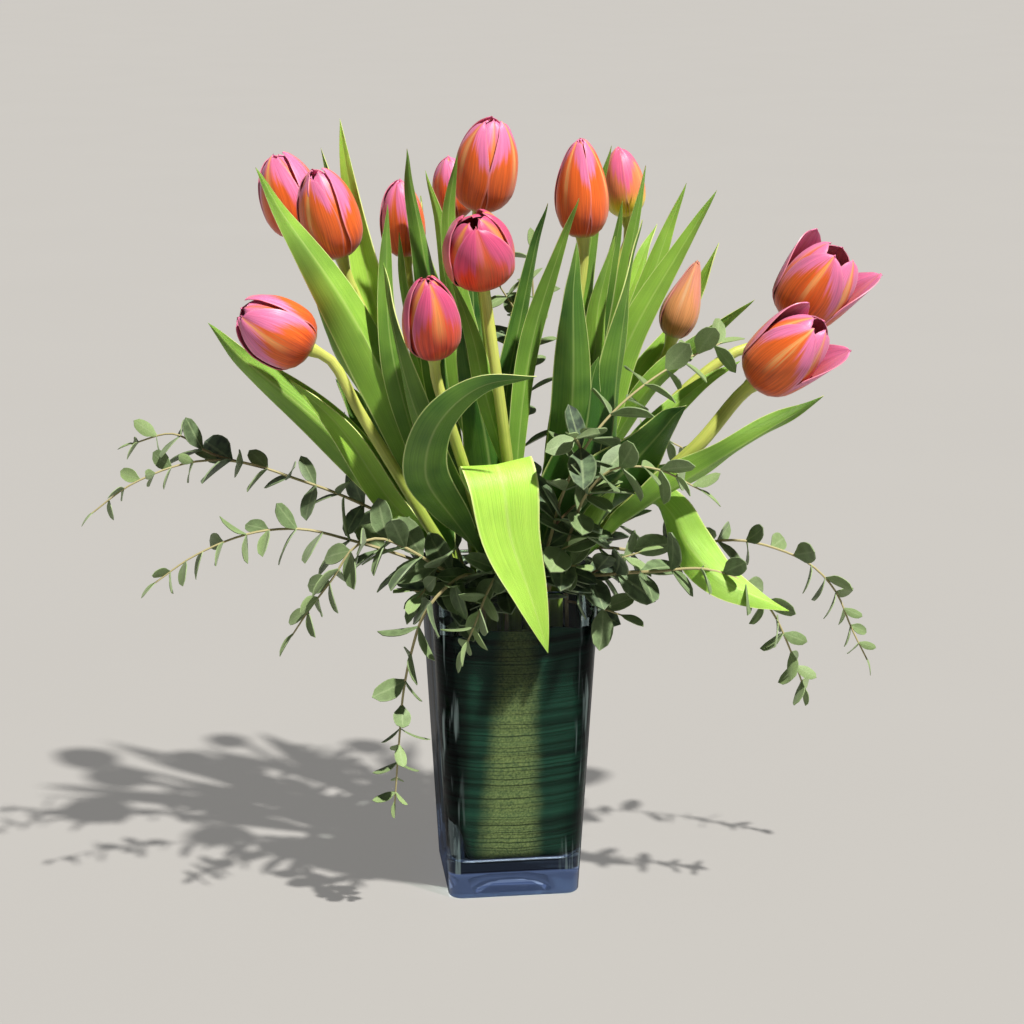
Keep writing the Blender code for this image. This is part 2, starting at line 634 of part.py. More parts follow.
def make_petal(name, tulip, frame, bearing, step):
    """One curved petal of a bloom, standing a step outside the innermost ones."""
    base, axis, front, side, length = frame
    outer = []
    inner = []
    for share in PETAL_ROWS + (1.0,):
        out, up = petal_profile(share, tulip.opening)
        low = petal_profile(max(share - 0.05, 0.0), tulip.opening)
        high = petal_profile(min(share + 0.05, 1.0), tulip.opening)
        slope = Vector(((high[0] - low[0]) * tulip.radius, (high[1] - low[1]) * length)).normalized()
        reach = out * tulip.radius + step * (1.0 if share else ROOT_STEP)
        half = PETAL_HALF * tulip.radius * table(PETAL_OUTLINE, share)
        angle = min(half / reach, math.radians(PETAL_WRAP))
        columns = (0.0,) if half == 0 else PETAL_COLUMNS
        rows = ([], [])
        for place in columns:
            turn = bearing + place * angle
            radial = front * math.cos(turn) + side * math.sin(turn)
            curl = 1 - PETAL_CURL * place ** 2
            point = base + axis * (up * length + GAP) + radial * reach * curl
            normal = radial * slope.y - axis * slope.x
            rows[0].append(point + normal * PETAL_THICK / 2)
            rows[1].append(point - normal * PETAL_THICK / 2)
        outer.append(rows[0])
        inner.append(rows[1])
    return sheet(name, outer, inner)


def make_bloom(tulip):
    """Bloom of six petals in two layers, joined where they meet over the stem."""
    base = Vector(tulip.base)
    reach = Vector(tulip.tip) - base
    axis = reach.normalized()
    front = square_to(Vector((0, -1, 0)), axis)
    side = axis.cross(front)
    frame = (base, axis, front, side, reach.length)
    rings = []
    for height, radius in RECEPTACLE:
        ring = []
        for corner in range(RECEPTACLE_SIDES):
            angle = math.radians(tulip.spin) + 2 * math.pi * (corner + 0.5) / RECEPTACLE_SIDES
            ring.append(base + axis * (height + GAP)
                        + (front * math.cos(angle) + side * math.sin(angle)) * radius)
        rings.append(ring)
    name = tulip.name + "_bloom"
    pieces = [loft(name, rings)]
    for layer in range(2):
        for third in range(3):
            bearing = math.radians(tulip.spin + 120 * third + 60 * layer)
            label = f"{name}_petal_{layer}_{third}"
            pieces.append(make_petal(label, tulip, frame, bearing, WHORL_STEP * layer))
    return finish(fuse(name, pieces), tulip.colour)


def make_leaflet(name, root, direction, normal, length):
    """Small pointed leaf, flat but for a slight droop."""
    side = direction.cross(normal)
    outer = []
    inner = []
    for share, width in LEAFLET_OUTLINE:
        centre = root + direction * length * share - normal * length * LEAFLET_DROOP * share ** 2
        half = length * LEAFLET_WIDTH / 2 * width
        rows = ([], [])
        for place in ((0,) if width == 0 else (-1, 1)):
            rows[0].append(centre + side * half * place + normal * LEAFLET_THICK / 2)
            rows[1].append(centre + side * half * place - normal * LEAFLET_THICK / 2)
        outer.append(rows[0])
        inner.append(rows[1])
    return sheet(name, outer, inner)


def make_leaf_pairs(name, shoot, first, spray, draw):
    """Opposite leaves along a shoot, smaller towards its tip, and one leaf at its end."""
    pieces = []
    across = square_to(Vector((0, 0, 1)), shoot.heading(first))
    reach = first * shoot.length
    pair = 0
    while reach < shoot.length - LAST_PAIR:
        share = reach / shoot.length
        axis = shoot.heading(share)
        across = square_to(across, axis)
        length = blend(*spray.leaf, (share - first) / (1 - first))
        roll = spray.roll + (pair % 2) * PAIR_TURN + draw.uniform(-PAIR_SWAY, PAIR_SWAY)
        arm = Matrix.Rotation(math.radians(roll), 3, axis) @ across
        for hand in (-1, 1):
            angle = math.radians(PAIR_ANGLE + draw.uniform(-PAIR_SWAY, PAIR_SWAY))
            direction = axis * math.cos(angle) + arm * hand * math.sin(angle)
            normal = direction.cross(axis.cross(arm * hand)).normalized()
            size = length * draw.uniform(0.88, 1.12)
            label = f"{name}_{pair}_{hand + 1}"
            pieces.append(make_leaflet(label, shoot.at(share), direction, normal, size))
        reach += length * spray.pitch
        pair += 1
    axis = shoot.heading(1.0)
    normal = square_to(Vector((0, 0, 1)), axis)
    tip = shoot.at(1.0) - axis * 3
    pieces.append(make_leaflet(name + "_end", tip, axis, normal, spray.leaf[1]))
    return pieces


def make_spray(spray):
    """Eucalyptus stem with its small leaves fused to it."""
    draw = random.Random(spray.name)
    foot, straight, mouth = straight_part(spray.slot)
    route = smooth_path([foot, straight, mouth, *spray.route])
    bend = route.share_at_height(STRAIGHT_TOP)
    rings = SPRAY_RINGS
    sections = [0.0] + [blend(bend, 1.0, step / rings) for step in range(rings + 1)]

    def radius(share):
        return blend(SPRAY_RADIUS, SPRAY_TIP, max(0.0, share - bend) / (1 - bend))

    pieces = [tube(spray.name, route, radius, SPRAY_SIDES, sections)]
    shoot = Path([route.at(share) for share in sections])
    first = blend(bend, 1.0, spray.start)
    pieces += make_leaf_pairs(spray.name + "_leaf", shoot, first, spray, draw)
    for index, (share, points) in enumerate(spray.forks):
        fork = smooth_path([shoot.at(blend(bend, 1.0, share)), *points])
        steps = [step / FORK_RINGS for step in range(FORK_RINGS + 1)]
        label = f"{spray.name}_fork_{index}"
        pieces.append(tube(label, fork, lambda part: blend(FORK_RADIUS, SPRAY_TIP, part),
                           SPRAY_SIDES, steps))
        twig = Path([fork.at(step) for step in steps])
        pieces += make_leaf_pairs(label + "_leaf", twig, FORK_FIRST, spray, draw)
    return finish(fuse(spray.name, pieces), SPRAY_GREEN)


def main():
    """Clear the scene and build the vase, the water and every stem, bloom and spray."""
    for shape in list(bpy.data.objects):
        bpy.data.objects.remove(shape)
    make_vase()
    make_lining()
    slots = [(tulip.slot, TULIP_RADIUS, TULIP_SIDES) for tulip in TULIPS]
    slots += [(spray.slot, SPRAY_RADIUS, SPRAY_SIDES) for spray in SPRAYS]
    make_water(slots)
    for tulip in TULIPS:
        make_tulip_stem(tulip)
        make_bloom(tulip)
    for spray in SPRAYS:
        make_spray(spray)


if __name__ == "__main__":
    main()
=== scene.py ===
"""Thirteen tulips with eucalyptus sprays in a square glass vase.

Each class holds the sizes of one kind of piece in millimetres, builds its mesh and gives it its
finish. +X is the right, -Y the front, and the origin is the middle of the vase's underside.
"""
import logging
import math
import random
from dataclasses import dataclass
from enum import Enum
from typing import Callable, NamedTuple, Sequence

import bpy
from mathutils import Matrix, Vector


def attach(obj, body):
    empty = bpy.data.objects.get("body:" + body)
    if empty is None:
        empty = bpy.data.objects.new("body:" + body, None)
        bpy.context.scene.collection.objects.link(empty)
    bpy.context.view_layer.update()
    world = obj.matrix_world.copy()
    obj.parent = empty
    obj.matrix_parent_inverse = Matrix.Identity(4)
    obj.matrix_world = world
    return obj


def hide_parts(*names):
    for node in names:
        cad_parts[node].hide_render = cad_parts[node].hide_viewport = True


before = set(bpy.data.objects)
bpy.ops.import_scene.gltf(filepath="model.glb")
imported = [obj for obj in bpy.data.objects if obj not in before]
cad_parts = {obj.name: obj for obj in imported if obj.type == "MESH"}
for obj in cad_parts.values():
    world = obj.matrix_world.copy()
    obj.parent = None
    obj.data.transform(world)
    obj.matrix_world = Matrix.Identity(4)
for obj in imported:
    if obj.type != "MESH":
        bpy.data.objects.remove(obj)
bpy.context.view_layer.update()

LOG = logging.getLogger("tulips")
BODY = "root"
MM = 0.001
WELD = 1e-6                    # metres: closer points are one point
TINY = 1e-6                    # lengths under this have no direction
SMALLEST_RUN = 1e-9            # keeps a run of no length from being divided by
CURVE_STEPS = 12               # points of a smooth path for each given one
SMOOTH_ANGLE = 50.0            # faces that meet at less are shaded as one surface
UP = Vector((0, 0, 1))
FRONT = Vector((0, -1, 0))
RIGHT = Vector((1, 0, 0))
BACK = Vector((0, 1, 0))

Point = Sequence[float]
Pairs = Sequence[tuple[float, float]]
Colour = tuple[float, float, float, float]
Shape = bpy.types.Object
Socket = bpy.types.NodeSocket


def blend(low: float, high: float, share: float) -> float:
    """Value at a share of the way from one number to another."""
    return low + (high - low) * share


def held(value: float) -> float:
    """The value kept from 0 to 1."""
    return min(max(value, 0.0), 1.0)


def ramp(low: float, high: float, value: float) -> float:
    """Smooth step from 0 at the low value to 1 at the high one."""
    share = held((value - low) / (high - low))
    return share * share * (3 - 2 * share)


def eased(pairs: Pairs, value: float) -> float:
    """Smooth reading of a short table.

    Args:
        pairs: rising places, each with its value.
        value: the place to read.

    Returns:
        The value on a smooth curve through the pairs.
    """
    last = len(pairs) - 1
    index = next((i for i in range(last) if value <= pairs[i + 1][0]), last - 1)
    (x0, y0), (x1, y1) = pairs[index], pairs[index + 1]
    before, after = pairs[max(index - 1, 0)], pairs[min(index + 2, last)]
    span = x1 - x0
    rise0 = (y1 - before[1]) / (x1 - before[0]) * span
    rise1 = (after[1] - y0) / (after[0] - x0) * span
    t = held((value - x0) / span)
    return ((2 * t ** 3 - 3 * t ** 2 + 1) * y0 + (t ** 3 - 2 * t ** 2 + t) * rise0
            + (3 * t ** 2 - 2 * t ** 3) * y1 + (t ** 3 - t ** 2) * rise1)


def square_to(direction: Vector, axis: Vector) -> Vector:
    """Unit part of a direction at right angles to an axis."""
    axis = axis.normalized()
    rest = direction - axis * direction.dot(axis)
    return (rest if rest.length >= TINY else axis.orthogonal()).normalized()


def on_ring(one: Vector, other: Vector, angle: float) -> Vector:
    """Direction at an angle from one of two square directions towards the other."""
    return one * math.cos(angle) + other * math.sin(angle)


def spun(angle: float, axis: Vector) -> Matrix:
    """Turn by an angle in degrees about an axis."""
    return Matrix.Rotation(math.radians(angle), 3, axis)


def paint(red: int, green: int, blue: int) -> Colour:
    """Linear colour of a paint given as three numbers up to 255."""
    parts = [part / 255 for part in (red, green, blue)]
    mixed = [part / 12.92 if part <= 0.04045 else ((part + 0.055) / 1.055) ** 2.4
             for part in parts]
    return (*mixed, 1.0)


class Path:
    """A line of points, read by its share of length."""

    def __init__(self, points: Sequence[Vector]) -> None:
        """Measure the line through the points."""
        self.points = points
        self.runs = [0.0]
        for start, end in zip(points, points[1:]):
            self.runs.append(self.runs[-1] + (end - start).length)
        self.length = self.runs[-1]

    @classmethod
    def through(cls, points: Sequence[Point]) -> "Path":
        """Smooth path through given points.

        Args:
            points: the points in order.

        Returns:
            A path on the centripetal Catmull-Rom curve through them.
        """
        knots = [Vector(point) for point in points]
        knots = [2 * knots[0] - knots[1]] + knots + [2 * knots[-1] - knots[-2]]
        line = []
        for index in range(1, len(knots) - 2):
            four = knots[index - 1:index + 3]
            line += [cls.on_curve(four, step / CURVE_STEPS) for step in range(CURVE_STEPS)]
        return cls(line + [knots[-2]])

    @staticmethod
    def on_curve(knots: Sequence[Vector], share: float) -> Vector:
        """Point of the curve between the middle two of four knots."""
        times = [0.0]
        for start, end in zip(knots, knots[1:]):
            times.append(times[-1] + max((end - start).length, TINY) ** 0.5)
        now = blend(times[1], times[2], share)
        level = list(knots)
        for spans in (((0, 1), (1, 2), (2, 3)), ((0, 2), (1, 3)), ((1, 2),)):
            level = [level[i].lerp(level[i + 1], (now - times[low]) / (times[high] - times[low]))
                     for i, (low, high) in enumerate(spans)]
        return level[0]

    def at(self, share: float) -> Vector:
        """Point at a share of the length."""
        reach = held(share) * self.length
        for index in range(1, len(self.runs)):
            if reach <= self.runs[index]:
                break
        run = self.runs[index] - self.runs[index - 1]
        part = (reach - self.runs[index - 1]) / max(run, SMALLEST_RUN)
        return self.points[index - 1].lerp(self.points[index], part)

    def heading(self, share: float, step: float = 0.012) -> Vector:
        """Unit direction at a share of the length."""
        return (self.at(share + step) - self.at(share - step)).normalized()

    def share_at_height(self, height: float) -> float:
        """Share of the length at which the line first passes a height."""
        for index, point in enumerate(self.points):
            if point.z >= height:
                return self.runs[index] / self.length
        return 1.0


class Hand:
    """Modelling moves that every piece shares."""

    @staticmethod
    def drop_all() -> None:
        """Leave nothing selected."""
        bpy.ops.object.select_all(action="DESELECT")

    @staticmethod
    def pick(*pieces: Shape) -> None:
        """Select some pieces alone and make the first one active."""
        Hand.drop_all()
        for piece in pieces:
            piece.select_set(True)
        bpy.context.view_layer.objects.active = pieces[0]

    @staticmethod
    def select_faces(piece: Shape, wanted: Callable[[bpy.types.MeshPolygon], bool]) -> None:
        """Enter edit mode on a piece with just the wanted faces selected."""
        Hand.pick(piece)
        bpy.ops.object.mode_set(mode="EDIT")
        bpy.ops.mesh.select_mode(type="FACE")
        bpy.ops.mesh.select_all(action="DESELECT")
        bpy.ops.object.mode_set(mode="OBJECT")
        for face in piece.data.polygons:
            face.select = wanted(face)
        bpy.ops.object.mode_set(mode="EDIT")

    @staticmethod
    def grid(name: str, columns: int, rows: int, place: Callable[[float, float], Vector],
             spread: Callable[[float], float] = lambda share: share) -> Shape:
        """Sheet shaped from a plain grid.

        Args:
            name: the new object's name.
            columns: faces across.
            rows: faces along.
            place: gives a point in millimetres from a place across (-1 to 1) and along (0 to 1).
            spread: moves the rows, from an even share of the length to the wanted one.

        Returns:
            The sheet, with a UV map that runs across and along it.
        """
        Hand.drop_all()
        bpy.ops.mesh.primitive_grid_add(x_subdivisions=columns, y_subdivisions=rows, size=2.0)
        piece = bpy.context.object
        piece.name = name
        for corner in piece.data.uv_layers.active.data:
            corner.uv.y = spread(held(corner.uv.y))
        for vertex in piece.data.vertices:
            along = spread(held((vertex.co.y + 1) / 2))
            vertex.co = place(vertex.co.x, along) * MM
        return piece

    @staticmethod
    def merge(piece: Shape, outward: bool = False) -> None:
        """Merge doubled points, and turn the faces of a closed piece outward."""
        Hand.pick(piece)
        bpy.ops.object.mode_set(mode="EDIT")
        bpy.ops.mesh.select_all(action="SELECT")
        bpy.ops.mesh.remove_doubles(threshold=WELD)
        if outward:
            bpy.ops.mesh.normals_make_consistent(inside=False)
        bpy.ops.object.mode_set(mode="OBJECT")

    @staticmethod
    def thicken(piece: Shape, thickness: float) -> int:
        """Give a sheet its thickness in metres, half to each side.

        Args:
            piece: the sheet.
            thickness: its new thickness.

        Returns:
            How many of its points lie on the side that its faces turn to.
        """
        Hand.merge(piece)
        front = len(piece.data.vertices)
        wall = piece.modifiers.new("thickness", "SOLIDIFY")
        wall.thickness = thickness
        wall.offset = 0.0
        bpy.ops.object.modifier_apply(modifier=wall.name)
        return front

    @staticmethod
    def two_sided(piece: Shape, thickness: float) -> None:
        """Thicken a sheet by millimetres and mark its back with side 1."""
        front = Hand.thicken(piece, thickness * MM)
        back = len(piece.data.vertices) - front
        Hand.mark(piece, "side", [0.0] * front + [1.0] * back)

    @staticmethod
    def mark(piece: Shape, name: str, values: Sequence[float]) -> None:
        """Store one number for each point of a piece."""
        data = piece.data.attributes.new(name, "FLOAT", "POINT").data
        data.foreach_set("value", list(values))

    @staticmethod
    def mark_all(piece: Shape, name: str, value: float) -> None:
        """Store the same number for every point of a piece."""
        Hand.mark(piece, name, [value] * len(piece.data.vertices))

    @staticmethod
    def join(name: str, parts: Sequence[Shape]) -> Shape:
        """One object made of several."""
        Hand.pick(*parts)
        if len(parts) > 1:
            bpy.ops.object.join()
        parts[0].name = name
        return parts[0]

    @staticmethod
    def tube(name: str, route: Path, radius: Callable[[float], float], sides: int,
             rings: int, ripple: float = 0.0) -> Shape:
        """Round stem along a route, closed at both ends.

        Args:
            name: the new object's name.
            route: its middle line.
            radius: gives its radius at a share of the length.
            sides: faces round it.
            rings: rings along it.
            ripple: how far its section is from round, as a share of the radius.

        Returns:
            The closed stem.
        """
        across = square_to(RIGHT, route.heading(0.0))
        frames = []
        for row in range(rings + 1):
            share = row / rings
            axis = route.heading(share)
            across = square_to(across, axis)
            frames.append((route.at(share), across, axis.cross(across), radius(share)))
        frames = [(*frames[0][:3], 0.0)] + frames + [(*frames[-1][:3], 0.0)]
        last = len(frames) - 1

        def place(around: float, along: float) -> Vector:
            """Point of a ring, at a share of half a turn either way."""
            centre, one, other, reach = frames[round(along * last)]
            angle = math.pi * around
            reach *= 1 + ripple * math.cos(3 * angle + 2 * along)
            return centre + on_ring(one, other, angle) * reach

        piece = Hand.grid(name, sides, last, place)
        Hand.merge(piece, outward=True)
        return piece

    @staticmethod
    def dress(piece: Shape, look: "Finish", angle: float = SMOOTH_ANGLE) -> None:
        """Shade a piece smooth, but for edges sharper than an angle, and give it one finish."""
        Hand.pick(piece)
        bpy.ops.object.shade_smooth_by_angle(angle=math.radians(angle))
        piece.data.materials.clear()
        piece.data.materials.append(look.material())

    @staticmethod
    def settle(piece: Shape, slot: str, nodes: Sequence[str]) -> None:
        """Attach a finished piece to the body and hide the solids that it stands for.

        Args:
            piece: the finished mesh, its place in its points.
            slot: the record's name of its finish; not used.
            nodes: the solids that it stands for.
        """
        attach(piece, BODY)
        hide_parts(*nodes)
        LOG.info("%s: %d faces", piece.name, len(piece.data.polygons))


class Value:
    """A number that changes over a surface, with plain arithmetic."""

    def __init__(self, book: "Book", socket: Socket) -> None:
        """Wrap a socket of a tree."""
        self.book = book
        self.socket = socket

    def __add__(self, other: object) -> "Value":
        """Sum."""
        return self.book.math("ADD", self, other)

    def __radd__(self, other: float) -> "Value":
        """Sum with a plain number in front."""
        return self.book.math("ADD", other, self)

    def __sub__(self, other: object) -> "Value":
        """Difference."""
        return self.book.math("SUBTRACT", self, other)

    def __rsub__(self, other: float) -> "Value":
        """Difference from a plain number."""
        return self.book.math("SUBTRACT", other, self)

    def __mul__(self, other: object) -> "Value":
        """Product."""
        return self.book.math("MULTIPLY", self, other)

    def __truediv__(self, other: object) -> "Value":
        """Quotient."""
        return self.book.math("DIVIDE", self, other)

    def __abs__(self) -> "Value":
        """Size without its sign."""
        return self.book.math("ABSOLUTE", self, 0.0)

    def mask(self, low: float, high: float) -> "Value":
        """Smooth step, which falls where the low end is the greater."""
        rising = low < high
        ends = {1: min(low, high), 2: max(low, high), 3: float(not rising), 4: float(rising)}
        return self.book.value("ShaderNodeMapRange", {0: self, **ends},
                               interpolation_type="SMOOTHSTEP")


class Sheet(NamedTuple):
    """Where a point lies on a leaf, petal or stem, and what is drawn there."""

    across: Value                  # 0 at the midrib and 1 at the margin
    along: Value                   # 0 at the foot and 1 at the tip
    rim: Value                     # 1 at the very margin
    streak: Value                  # fine streaks, mostly between 0.3 and 0.7
    broad: Value                   # broad ones
    tone: Value                    # the piece's own number


class Book:
    """Short calls that add and join the nodes of one tree."""

    def __init__(self, tree: bpy.types.NodeTree) -> None:
        """Open a tree."""
        self.tree = tree

    def join(self, value: object, socket: Socket) -> None:
        """Link a value to a socket, or set the socket to a constant."""
        if isinstance(value, Value):
            value = value.socket
        if isinstance(value, Socket):
            self.tree.links.new(value, socket)
        else:
            socket.default_value = value

    def node(self, kind: str, inputs: dict[int | str, object], **settings: object
             ) -> bpy.types.Node:
        """Add a node.

        Args:
            kind: the node's type.
            inputs: constants or values for its inputs.
            settings: its other settings.

        Returns:
            The new node.
        """
        made = self.tree.nodes.new(kind)
        for name, setting in settings.items():
            setattr(made, name, setting)
        for place, value in inputs.items():
            self.join(value, made.inputs[place])
        return made

    def value(self, kind: str, inputs: dict[int | str, object], output: int | str = 0,
              **settings: object) -> Value:
        """Add a node and read one of its outputs."""
        return Value(self, self.node(kind, inputs, **settings).outputs[output])

    def math(self, kind: str, first: object, second: object) -> Value:
        """Arithmetic on one or two values."""
        return self.value("ShaderNodeMath", {0: first, 1: second}, operation=kind)

    def mix(self, share: object, first: object, second: object, way: str = "MIX") -> Value:
        """Mix of two colours."""
        return self.value("ShaderNodeMix", {0: share, 6: first, 7: second}, 2,
                          data_type="RGBA", blend_type=way)

    def shade(self, colour: Value, streak: Value, grain: "Grain") -> Value:
        """Darken and lighten a colour along its streaks."""
        light = streak.mask(*grain.ends)
        return self.mix(1.0, colour, self.mix(light, (*grain.dim, 1.0), (*grain.lit, 1.0)),
                        "MULTIPLY")

    def noise(self, vector: Value, scale: float, detail: float = 2.0) -> Value:
        """Soft noise, mostly between 0.3 and 0.7."""
        return self.value("ShaderNodeTexNoise", {"Vector": vector, "Scale": scale,
                                                 "Detail": detail})

    def between(self, share: Value, middle: float, down: float, up: float) -> Value:
        """Range about a middle value."""
        return self.value("ShaderNodeMapRange", {0: share, 3: middle - down, 4: middle + up})

    def bump(self, height: Value, depth: float, strength: float = 0.6) -> Value:
        """Normal of a surface raised by a height, to a depth in millimetres."""
        return self.value("ShaderNodeBump", {"Strength": strength, "Distance": depth * MM,
                                             "Height": height})

    def place(self) -> Value:
        """The piece's own coordinates, in metres."""
        return self.value("ShaderNodeTexCoord", {}, "Object")

    def drawn_out(self, height: float) -> Value:
        """The piece's own coordinates, with patterns stretched upwards."""
        return self.value("ShaderNodeMapping", {"Vector": self.place(),
                                                "Scale": (1.0, 1.0, height)})

    def split(self, vector: Value) -> list[Value]:
        """The three parts of a vector."""
        return [Value(self, part) for part in self.node("ShaderNodeSeparateXYZ",
                                                        {0: vector}).outputs]

    def stored(self, name: str) -> Value:
        """A number stored on the piece's points."""
        return self.value("ShaderNodeAttribute", {}, "Fac", attribute_name=name)

    def sheet(self, grain: "Grain") -> Sheet:
        """Place on a leaf, petal or stem, and its streaks."""
        uv = self.value("ShaderNodeUVMap", {}, uv_map="UVMap")
        tone = self.stored("tone")
        return Sheet(*GROWTH.on(self, uv, grain.margin),
                     *VEINS.on(self, uv, grain.fineness, grain.length, tone), tone)


class Effect(NamedTuple):
    """A node group that more than one finish uses, made once."""

    name: str
    inputs: dict[str, str]         # each with its kind
    outputs: tuple[str, ...]
    fill: Callable[..., Sequence[Value]]

    def tree(self) -> bpy.types.NodeTree:
        """The group's tree, made at its first use."""
        tree = bpy.data.node_groups.get(self.name)
        if tree is None:
            tree = bpy.data.node_groups.new(self.name, "ShaderNodeTree")
            for label, kind in self.inputs.items():
                tree.interface.new_socket(name=label, in_out="INPUT",
                                          socket_type="NodeSocket" + kind)
            for label in self.outputs:
                tree.interface.new_socket(name=label, in_out="OUTPUT",
                                          socket_type="NodeSocketFloat")
            book = Book(tree)
            start = book.node("NodeGroupInput", {})
            made = self.fill(book, *(Value(book, start.outputs[label]) for label in self.inputs))
            book.node("NodeGroupOutput", dict(zip(self.outputs, made)))
        return tree

    def on(self, book: Book, *values: object) -> list[Value]:
        """Place the group in a tree with its inputs in order, and read its outputs."""
        box = book.node("ShaderNodeGroup", dict(zip(self.inputs, values)), node_tree=self.tree())
        return [Value(book, box.outputs[label]) for label in self.outputs]


def fill_growth(book: Book, uv: Value, margin: Value) -> Sequence[Value]:
    """Place on a leaf or petal: across from the midrib, along, and at the margin."""
    x, y, _ = book.split(uv)
    across = abs(x - 0.5) * 2.0
    return across, y, ((across - (1.0 - margin)) / margin).mask(0.0, 1.0)


def fill_veins(book: Book, uv: Value, fineness: Value, length: Value, tone: Value
               ) -> Sequence[Value]:
    """Fine and broad streaks that run along a leaf, petal or stem."""
    x, y, _ = book.split(uv)
    place = book.value("ShaderNodeCombineXYZ", {0: x * fineness, 1: y * length, 2: tone * 37.0})
    return book.noise(place, 1.0, 3.0), book.noise(place, 0.22, 2.0)


def fill_mottle(book: Book, vector: Value, size: Value) -> Sequence[Value]:
    """Uneven colour at two sizes over a whole piece."""
    scaled = book.value("ShaderNodeVectorMath", {0: vector, 3: size}, operation="SCALE")
    return book.noise(scaled, 1.0), book.noise(scaled, 14.0)


GROWTH = Effect("growth", {"UV": "Vector", "Margin": "Float"}, ("Across", "Along", "Rim"),
                fill_growth)
VEINS = Effect("veins", {"UV": "Vector", "Fineness": "Float", "Length": "Float",
                         "Tone": "Float"}, ("Streak", "Broad"), fill_veins)
MOTTLE = Effect("mottle", {"Vector": "Vector", "Size": "Float"}, ("Patch", "Speck"),
                fill_mottle)


class Grain(NamedTuple):
    """How a sheet's rim and streaks are laid out, and how strongly they show."""

    margin: float                  # width of the rim, as a share of the half-width
    fineness: float                # streaks across the whole width
    length: float                  # patches along a streak
    dim: Point = (1.0, 1.0, 1.0)   # multiples of the colour in the dark streaks
    lit: Point = (1.0, 1.0, 1.0)   # and in the pale ones
    ends: tuple[float, float] = (0.25, 0.75)   # where a streak is darkest and palest


@dataclass(frozen=True)
class Finish:
    """A finish: its name and the sockets that are the same all over it."""

    name: str
    roughness: float = 0.5
    settings: tuple[tuple[str, object], ...] = ()

    def material(self) -> bpy.types.Material:
        """The finish's material, made at its first use."""
        made = bpy.data.materials.get(self.name)
        if made is None:
            made = bpy.data.materials.new(self.name)
            made.use_nodes = True
            book = Book(made.node_tree)
            shader = made.node_tree.nodes["Principled BSDF"]
            shader.inputs["Roughness"].default_value = self.roughness
            for socket, setting in self.settings:
                shader.inputs[socket].default_value = setting
            for socket, value in self.paint(book).items():
                book.join(value, shader.inputs[socket])
            self.cover(book, shader)
        return made

    def paint(self, book: Book) -> dict[str, Value]:
        """What changes over the surface, by the shader's sockets."""
        raise NotImplementedError

    def cover(self, book: Book, shader: bpy.types.Node) -> None:
        """Mix other shaders with the main one: most finishes have none."""


@dataclass(frozen=True)
class PetalFinish(Finish):
    """Pink petals with an orange flame that rises from the base and thins to a pale midrib."""

    pink: Colour = paint(228, 122, 166)
    flame: Colour = paint(232, 104, 34)
    deep: Colour = paint(190, 52, 30)
    rib: Colour = paint(252, 178, 104)
    base: Colour = paint(168, 158, 52)
    throat: Colour = paint(150, 60, 82)
    # painted highlight along the rim
    edge: Colour = paint(246, 172, 178)
    rib_width: float = 0.16
    red: float = 0.75              # strength of the red low down
    foot: tuple[float, float] = (0.13, 0.03)   # where the yellow of the foot ends and is full
    width: float = 1.35            # half-width of the flame low down; 1 is the whole half-petal
    low: float = 0.14              # where the flame starts to narrow
    high: float = 0.98             # where it is down to the midrib
    fray: tuple[float, float] = (0.55, 1.1)    # how far fine and broad streaks fray the flame
    uneven: float = -0.24          # how far chance moves it along the petal
    soft: tuple[float, float] = (-0.12, 0.26)  # its edge, within and without
    red_ends: tuple[float, float] = (0.50, 0.05)       # where the red is gone and is full
    rib_ends: tuple[float, float] = (0.3, 0.6)         # where the pale midrib starts and is full
    inner: float = 0.8             # how strongly the inner side differs
    inner_foot: tuple[float, float] = (0.22, 0.06)
    # strength of the painted highlight along the rim
    rim: float = 0.4
    rough: tuple[float, float] = (0.08, 0.1)   # less and more roughness along the streaks
    grain: Grain = Grain(0.08, 46.0, 2.2, (0.80, 0.78, 0.80), (1.14, 1.13, 1.13))
    settings: tuple[tuple[str, object], ...] = (
        ("Subsurface Weight", 0.10), ("Subsurface Radius", (1.0, 0.35, 0.25)),
        ("Subsurface Scale", 0.0015), ("Sheen Weight", 0.12), ("Specular IOR Level", 0.42))

    def paint(self, book: Book) -> dict[str, Value]:
        """Flame, midrib, base and inner side, each streaked along the petal, and a painted
        highlight along the rim.
        """
        at = book.sheet(self.grain)
        loose = (at.streak - 0.5) * self.fray[0]
        spread = at.across + (loose + (at.broad - 0.5) * self.fray[1])
        lift = at.along + (at.tone - 0.5) * self.uneven
        narrow = 1.0 - lift.mask(self.low, self.high)
        red = (at.along + loose).mask(*self.red_ends) * self.red
        flame = book.mix(red, self.flame, self.deep)
        colour = book.mix((spread - narrow * self.width).mask(*self.soft), flame, self.pink)
        rib = (at.across + loose).mask(self.rib_width, 0.0) * at.along.mask(*self.rib_ends)
        colour = book.mix(rib * at.tone.mask(0.0, 0.5), colour, self.rib)
        colour = book.mix((at.along + loose * 0.2).mask(*self.foot), colour, self.base)
        inside = book.mix(at.along.mask(0.5, 1.0), self.throat, self.pink)
        inside = book.mix(at.along.mask(*self.inner_foot), inside, self.base)
        colour = book.mix(book.stored("side") * self.inner, colour, inside)
        # painted highlight along the rim
        colour = book.mix(at.rim * self.rim, colour, self.edge)
        colour = book.shade(colour, at.streak, self.grain)
        return {"Base Color": colour, "Normal": book.bump(at.streak, 0.22),
                "Roughness": book.between(at.streak, self.roughness, *self.rough)}


